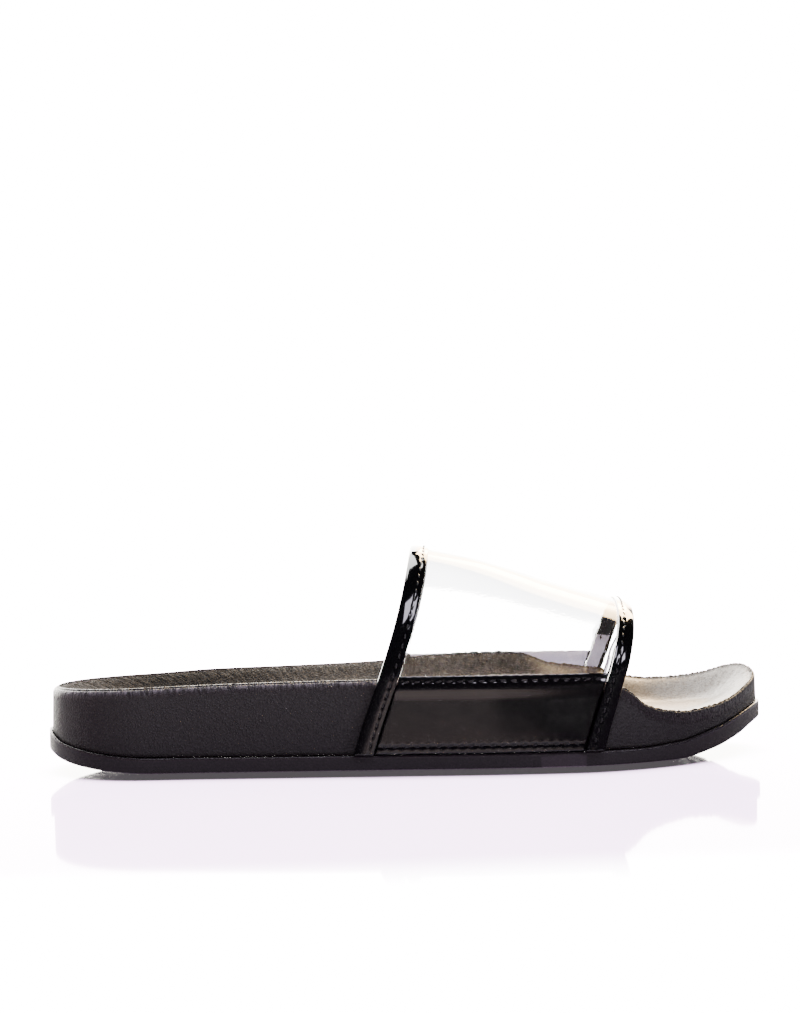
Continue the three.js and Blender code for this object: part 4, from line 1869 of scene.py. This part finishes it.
        # Low down the inner face takes the pale lining, whose lavender partly paints the front light's
        # reflection; above it the dark lining.
        low_part = (rise[:-1] < self.pale_to)[:, None]
        finish_of[:, start : start + self.inner_points] = np.where(low_part, 1, 2)
        return Loft(points, Ends.CAP, flip=edge is Edge.REAR, finish_of=finish_of)

    def binding_rows(self, edge: Edge) -> list[StitchRow]:
        """Stitch rows of a binding: one along its outer face, one along its free inner face.

        Args:
            edge: The edge that it is folded over.

        Returns:
            The rows.
        """
        last = self.last
        width = last.binding_width(edge)
        line = last.along_from(edge, width - self.stitch_inset)
        rows = []
        for reach, inside in ((self.outer_row, False), (self.inner_row, True)):
            overs = last.even_overs(line, self.row_steps[0], *reach)
            low, high = self._binding_levels(last.rise_at(last.along_from(edge, width), overs))
            normal = last.strap_normal(np.full_like(overs, line), overs)
            level = low if inside else high + last.crown * 0.6 - self.channel_depth
            points = last.strap_surface(np.full_like(overs, line), overs, level)
            rows.append(StitchRow(points, -normal if inside else normal))
        return rows

    def panel_rows(self, side: Side) -> list[StitchRow]:
        """Stitch rows along a panel's top and foot.

        Args:
            side: The side that it lies on.

        Returns:
            The rows.
        """
        last = self.last
        tall = last.panel_height(side)
        ends = (last.along_from(edge, last.binding_width(edge) + self.row_inset) for edge in Edge)
        along = np.linspace(*ends, self.row_steps[1])
        rows = []
        for rise in (self.panel_foot_inset / tall, 1 - self.panel_top_inset / tall):
            overs = np.full_like(along, last.over_on_wall(side, rise))
            level = float(self._panel_levels(side, np.array([rise]))[1][0])
            points = last.strap_surface(along, overs, level)
            rows.append(StitchRow(points, last.strap_normal(along, overs)))
        return rows

    def dress(self, effects: Effects) -> list[Piece]:
        """Builds every piece of the strap and gives it its finish.

        Args:
            effects: The shared effects.

        Returns:
            The pieces.
        """
        patent = PatentFinish().material(effects)
        pale = PALE_LINING_AND_REFLECTION.material(effects)
        dark = DARK_LINING.material(effects)
        thread = ThreadFinish().material(effects)
        stitching = Stitching(self.place)
        sheet = self.vamp().build("vamp_clear_sheet", self.place, [ClearFinish().material(effects)])
        made = [seat(sheet, "clear_sheet", "vamp_clear")]
        for side in Side:
            panel = self.panel(side).build(f"panel_{side.column}", self.place, [patent, pale])
            made.append(seat(panel, "patent", f"side_panel_{side.column}"))
            rows = stitching.build(f"stitches_panel_{side.column}", self.panel_rows(side), thread)
            made.append(seat(rows, None))
        for edge in Edge:
            finishes = [patent, pale, dark]
            binding = self.binding(edge).build(f"binding_{edge.value}_folded", self.place, finishes)
            made.append(seat(binding, "patent", f"binding_{edge.value}"))
            rows = stitching.build(f"stitches_binding_{edge.value}", self.binding_rows(edge), thread)
            made.append(seat(rows, None))
        return made


@dataclass(frozen=True)
class Softbox:
    """A square studio light.

    Attributes:
        name: Its name.
        at: Its place, in metres.
        size: Width and height, in metres.
        glow: Its brightness as seen in a mirror, with 1 as white.
        tint: Its colour.
    """

    name: str
    at: tuple[float, float, float]
    size: tuple[float, float]
    glow: float
    tint: tuple[float, float, float] = (1, 1, 1)

    def build(self, target: Vector) -> None:
        """Makes the light, turned to its target. Its power is glow * pi * area.

        Args:
            target: The point that it shines at.
        """
        light = bpy.data.lights.new(self.name, "AREA")
        light.shape = "RECTANGLE"
        light.size, light.size_y = self.size
        light.energy = self.glow * math.pi * self.size[0] * self.size[1]
        light.color = self.tint
        lamp = bpy.data.objects.new(self.name, light)
        lamp.location = self.at
        lamp.rotation_euler = (target - Vector(self.at)).to_track_quat("-Z", "Y").to_euler()
        bpy.context.scene.collection.objects.link(lamp)


SOFTBOXES = (
    Softbox("back_left", (-0.35, 0.75, 1.5), (1.1, 1.0), 9.0, (1, 0.99, 0.97)),
    Softbox("back_right", (0.8, 1.5, 1.3), (0.9, 0.9), 36.0, (1, 0.72, 0.4)),
    Softbox("front_high", (0.07, -0.92, 1.26), (0.8, 0.55), 7.0, (0.9, 0.85, 1)),
    Softbox("front_right", (0.95, -0.78, 0.65), (0.45, 0.3), 8.0, (0.9, 0.85, 1)),
)


@dataclass
class Studio:
    """Camera, pale floor, lights and white surroundings.

    The camera stands level beside the shoe's lateral side, turned 5 degrees to the toe and rolled by
    1 degree, which is the photograph's angle. Its focal length is 2075 pixels on a frame 1013 high.
    """

    place: Place
    eye: tuple[float, float, float] = (61.3, -750, 92.4)
    turn: float = 5
    roll: float = 1
    focal_pixels: float = 2075
    frame_height: float = 1013
    sensor: float = 36
    reach: float = 5
    card_at: float = 2.8
    card_top: float = 2.3
    card_mirror: Colour = (21, 20, 18.5, 1)
    card_warm: Colour = (27, 19.5, 13.5, 1)
    card_turn: Span = (0.25, 0.6)
    card_rise: Span = (0.75, 0.95)
    card_soft: float = 0.8
    card_left: float = -2.0
    card_right: float = 1.5
    card_edge: float = 0.3
    white: float = 20
    room: float = 0.12
    room_mirrored: float = 0.006
    floor_roughness: float = 0.05
    floor_index: float = 1.8
    floor_glow: Colour = (6.2, 4.4, 6.6, 1)
    floor_reflected: Colour = (0.34, 0.315, 0.345, 1)
    floor_hidden: Colour = (0.004, 0.004, 0.004, 1)
    floor_shade: Colour = (0.1, 0.09, 0.1, 1)
    shade_reach: float = 0.02
    shade: Span = (0.2, 0.85)
    fade: Span = (-0.27, -0.2)
    stand_lean: float = -0.14
    stand: Span = (0.05, 0.115)
    target: tuple[float, float, float] = (0, 0, 0.05)

    @property
    def sky(self) -> Colour:
        """The white that the camera sees behind the shoe."""
        return (self.white,) * 3 + (1,)

    def camera(self) -> None:
        """Makes the camera and sets it as the scene's."""
        data = bpy.data.cameras.new("camera")
        data.sensor_width = self.sensor
        data.lens = self.sensor * self.focal_pixels / self.frame_height
        data.clip_start, data.clip_end = 0.05, 50
        camera = bpy.data.objects.new("camera", data)
        turn, roll = math.radians(self.turn), math.radians(self.roll)
        ahead = Vector((math.sin(turn), math.cos(turn), 0))
        level, upright = Vector((math.cos(turn), -math.sin(turn), 0)), Vector((0, 0, 1))
        right = level * math.cos(roll) - upright * math.sin(roll)
        up = upright * math.cos(roll) + level * math.sin(roll)
        turned = Matrix((right, up, -ahead)).transposed()
        eye = Vector(self.place.world(np.array(self.eye)))
        camera.matrix_world = Matrix.Translation(eye) @ turned.to_4x4()
        bpy.context.scene.collection.objects.link(camera)
        bpy.context.scene.camera = camera

    def _shown(self, nodes: Nodes) -> Socket:
        """One for a ray from the camera, straight or through clear plastic, and zero for the rest.

        Args:
            nodes: The tree that it is for.

        Returns:
            The share.
        """
        light = nodes.add("ShaderNodeLightPath")
        bounces = nodes.math("ADD", light.outputs["Diffuse Depth"], light.outputs["Glossy Depth"])
        return nodes.math("SUBTRACT", 1.0, bounces, clamp=True)

    def _stage(self, name: str, corners: list[tuple[float, float, float]], finish: Finish) -> None:
        """Puts one flat face on the stage.

        Args:
            name: Its name.
            corners: Its corners, in metres.
            finish: Its finish.
        """
        mesh = bpy.data.meshes.new(name)
        mesh.from_pydata(corners, [], [tuple(range(len(corners)))])
        mesh.materials.append(finish.material)
        link(name, mesh)

    def floor(self) -> None:
        """A wide glossy floor, pale to the camera and darker in the patent's reflections.

        To the camera it glows, less where the shoe hides the sky above it, and it fades to white
        in front. The reflections see it darkest in front of the strap's front half.
        """
        constants = {"Roughness": self.floor_roughness, "IOR": self.floor_index, "Emission Strength": 1.0}
        finish = Finish("pale_floor", constants)
        nodes = finish.nodes
        shown = self._shown(nodes)
        through = nodes.add("ShaderNodeLightPath").outputs["Is Transmission Ray"]
        wave = nodes.noise(finish.coordinates(), 14.0, 3.0)
        split = nodes.add("ShaderNodeSeparateXYZ", {"Vector": finish.coordinates()})
        lean = nodes.math("MULTIPLY", split.outputs["Y"], self.stand_lean)
        leant = nodes.math("ADD", split.outputs["X"], lean)
        across = nodes.math("ADD", leant, nodes.math("MULTIPLY", wave.outputs["Fac"], 0.02))
        dark = nodes.span(across, *self.stand)
        reflected = nodes.mix(dark, self.floor_reflected, self.floor_hidden)
        open_sky = nodes.add("ShaderNodeAmbientOcclusion", {"Distance": self.shade_reach}, samples=16)
        shade = nodes.span(open_sky.outputs["AO"], *self.shade)
        faded = nodes.mix(nodes.span(split.outputs["Y"], *self.fade), self.sky, self.floor_glow)
        shaded = nodes.mix(through, nodes.mix(shade, self.floor_shade, faded), self.sky)
        finish.feed("Base Color", reflected)
        finish.feed("Emission Color", nodes.mix(shown, (0, 0, 0, 1), shaded))
        reach, back = self.reach, self.card_at
        corners = [(-reach, -reach, 0), (reach, -reach, 0), (reach, back, 0), (-reach, back, 0)]
        self._stage("floor", corners, finish)

    def card(self) -> None:
        """A white card behind, brightest in mirrors, which the glossy floor reflects."""
        constants = {"Specular IOR Level": 0.0, "Roughness": 1.0, "Emission Strength": 1.0}
        finish = Finish("white_card", {"Base Color": (0, 0, 0, 1), **constants})
        nodes = finish.nodes
        glossy = nodes.add("ShaderNodeLightPath").outputs["Is Glossy Ray"]
        split = nodes.add("ShaderNodeSeparateXYZ", {"Vector": finish.coordinates()})
        left = nodes.span(split.outputs["X"], self.card_left, self.card_left + self.card_edge)
        right = nodes.span(split.outputs["X"], self.card_right - self.card_edge, self.card_right, 1, 0)
        core = nodes.math("MULTIPLY", glossy, nodes.math("MULTIPLY", left, right))
        aside = nodes.span(split.outputs["X"], *self.card_turn)
        warmed = nodes.math("MULTIPLY", aside, nodes.span(split.outputs["Z"], *self.card_rise))
        mirrored = nodes.mix(warmed, self.card_mirror, self.card_warm)
        hidden = nodes.mix(core, (self.card_soft,) * 3 + (1,), mirrored)
        finish.feed("Emission Color", nodes.mix(self._shown(nodes), hidden, self.sky))
        reach, back, top = self.reach, self.card_at, self.card_top
        corners = [(-reach, back, 0), (reach, back, 0), (reach, back, top), (-reach, back, top)]
        self._stage("card", corners, finish)

    def surroundings(self) -> None:
        """White to the camera and through clear plastic, and a dim room for all other rays."""
        world = bpy.data.worlds.new("studio")
        world.use_nodes = True
        nodes = Nodes(world.node_tree)
        world.node_tree.nodes.clear()
        white = nodes.add("ShaderNodeBackground", {"Color": (1, 1, 1, 1), "Strength": self.white})
        glossy = nodes.add("ShaderNodeLightPath").outputs["Is Glossy Ray"]
        strength = nodes.span(glossy, 0, 1, self.room, self.room_mirrored)
        dim = nodes.add("ShaderNodeBackground", {"Color": (1, 0.95, 0.97, 1), "Strength": strength})
        shown = self._shown(nodes)
        mixed = nodes.add("ShaderNodeMixShader", {0: shown, 1: dim.outputs[0], 2: white.outputs[0]})
        nodes.add("ShaderNodeOutputWorld", {"Surface": mixed.outputs[0]})
        bpy.context.scene.world = world

    def lights(self) -> None:
        """Two banks behind and above, the right one warm, and two cooler softboxes in front."""
        for box in SOFTBOXES:
            box.build(Vector(self.target))

    def build(self) -> None:
        """Builds the whole studio."""
        self.camera()
        self.floor()
        self.card()
        self.surroundings()
        self.lights()
        LOG.info("studio: camera, floor, card and lights")


def main() -> None:
    """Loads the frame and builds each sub-assembly round it."""
    logging.basicConfig(level=logging.INFO, format="%(name)s: %(message)s")
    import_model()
    low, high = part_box("outsole")
    last = Last(length=round((high.x - low.x) / MM, 1))
    outline = last.outline(300)
    place = Place(low.x, low.y - float(outline.points[:, 1].min()) * MM, low.z)
    effects = Effects()
    Outsole(last, place).dress(effects)
    Footbed(last, place).dress(effects)
    Strap(last, place).dress(effects)
    Studio(place).build()


if __name__ == "__main__":
    main()
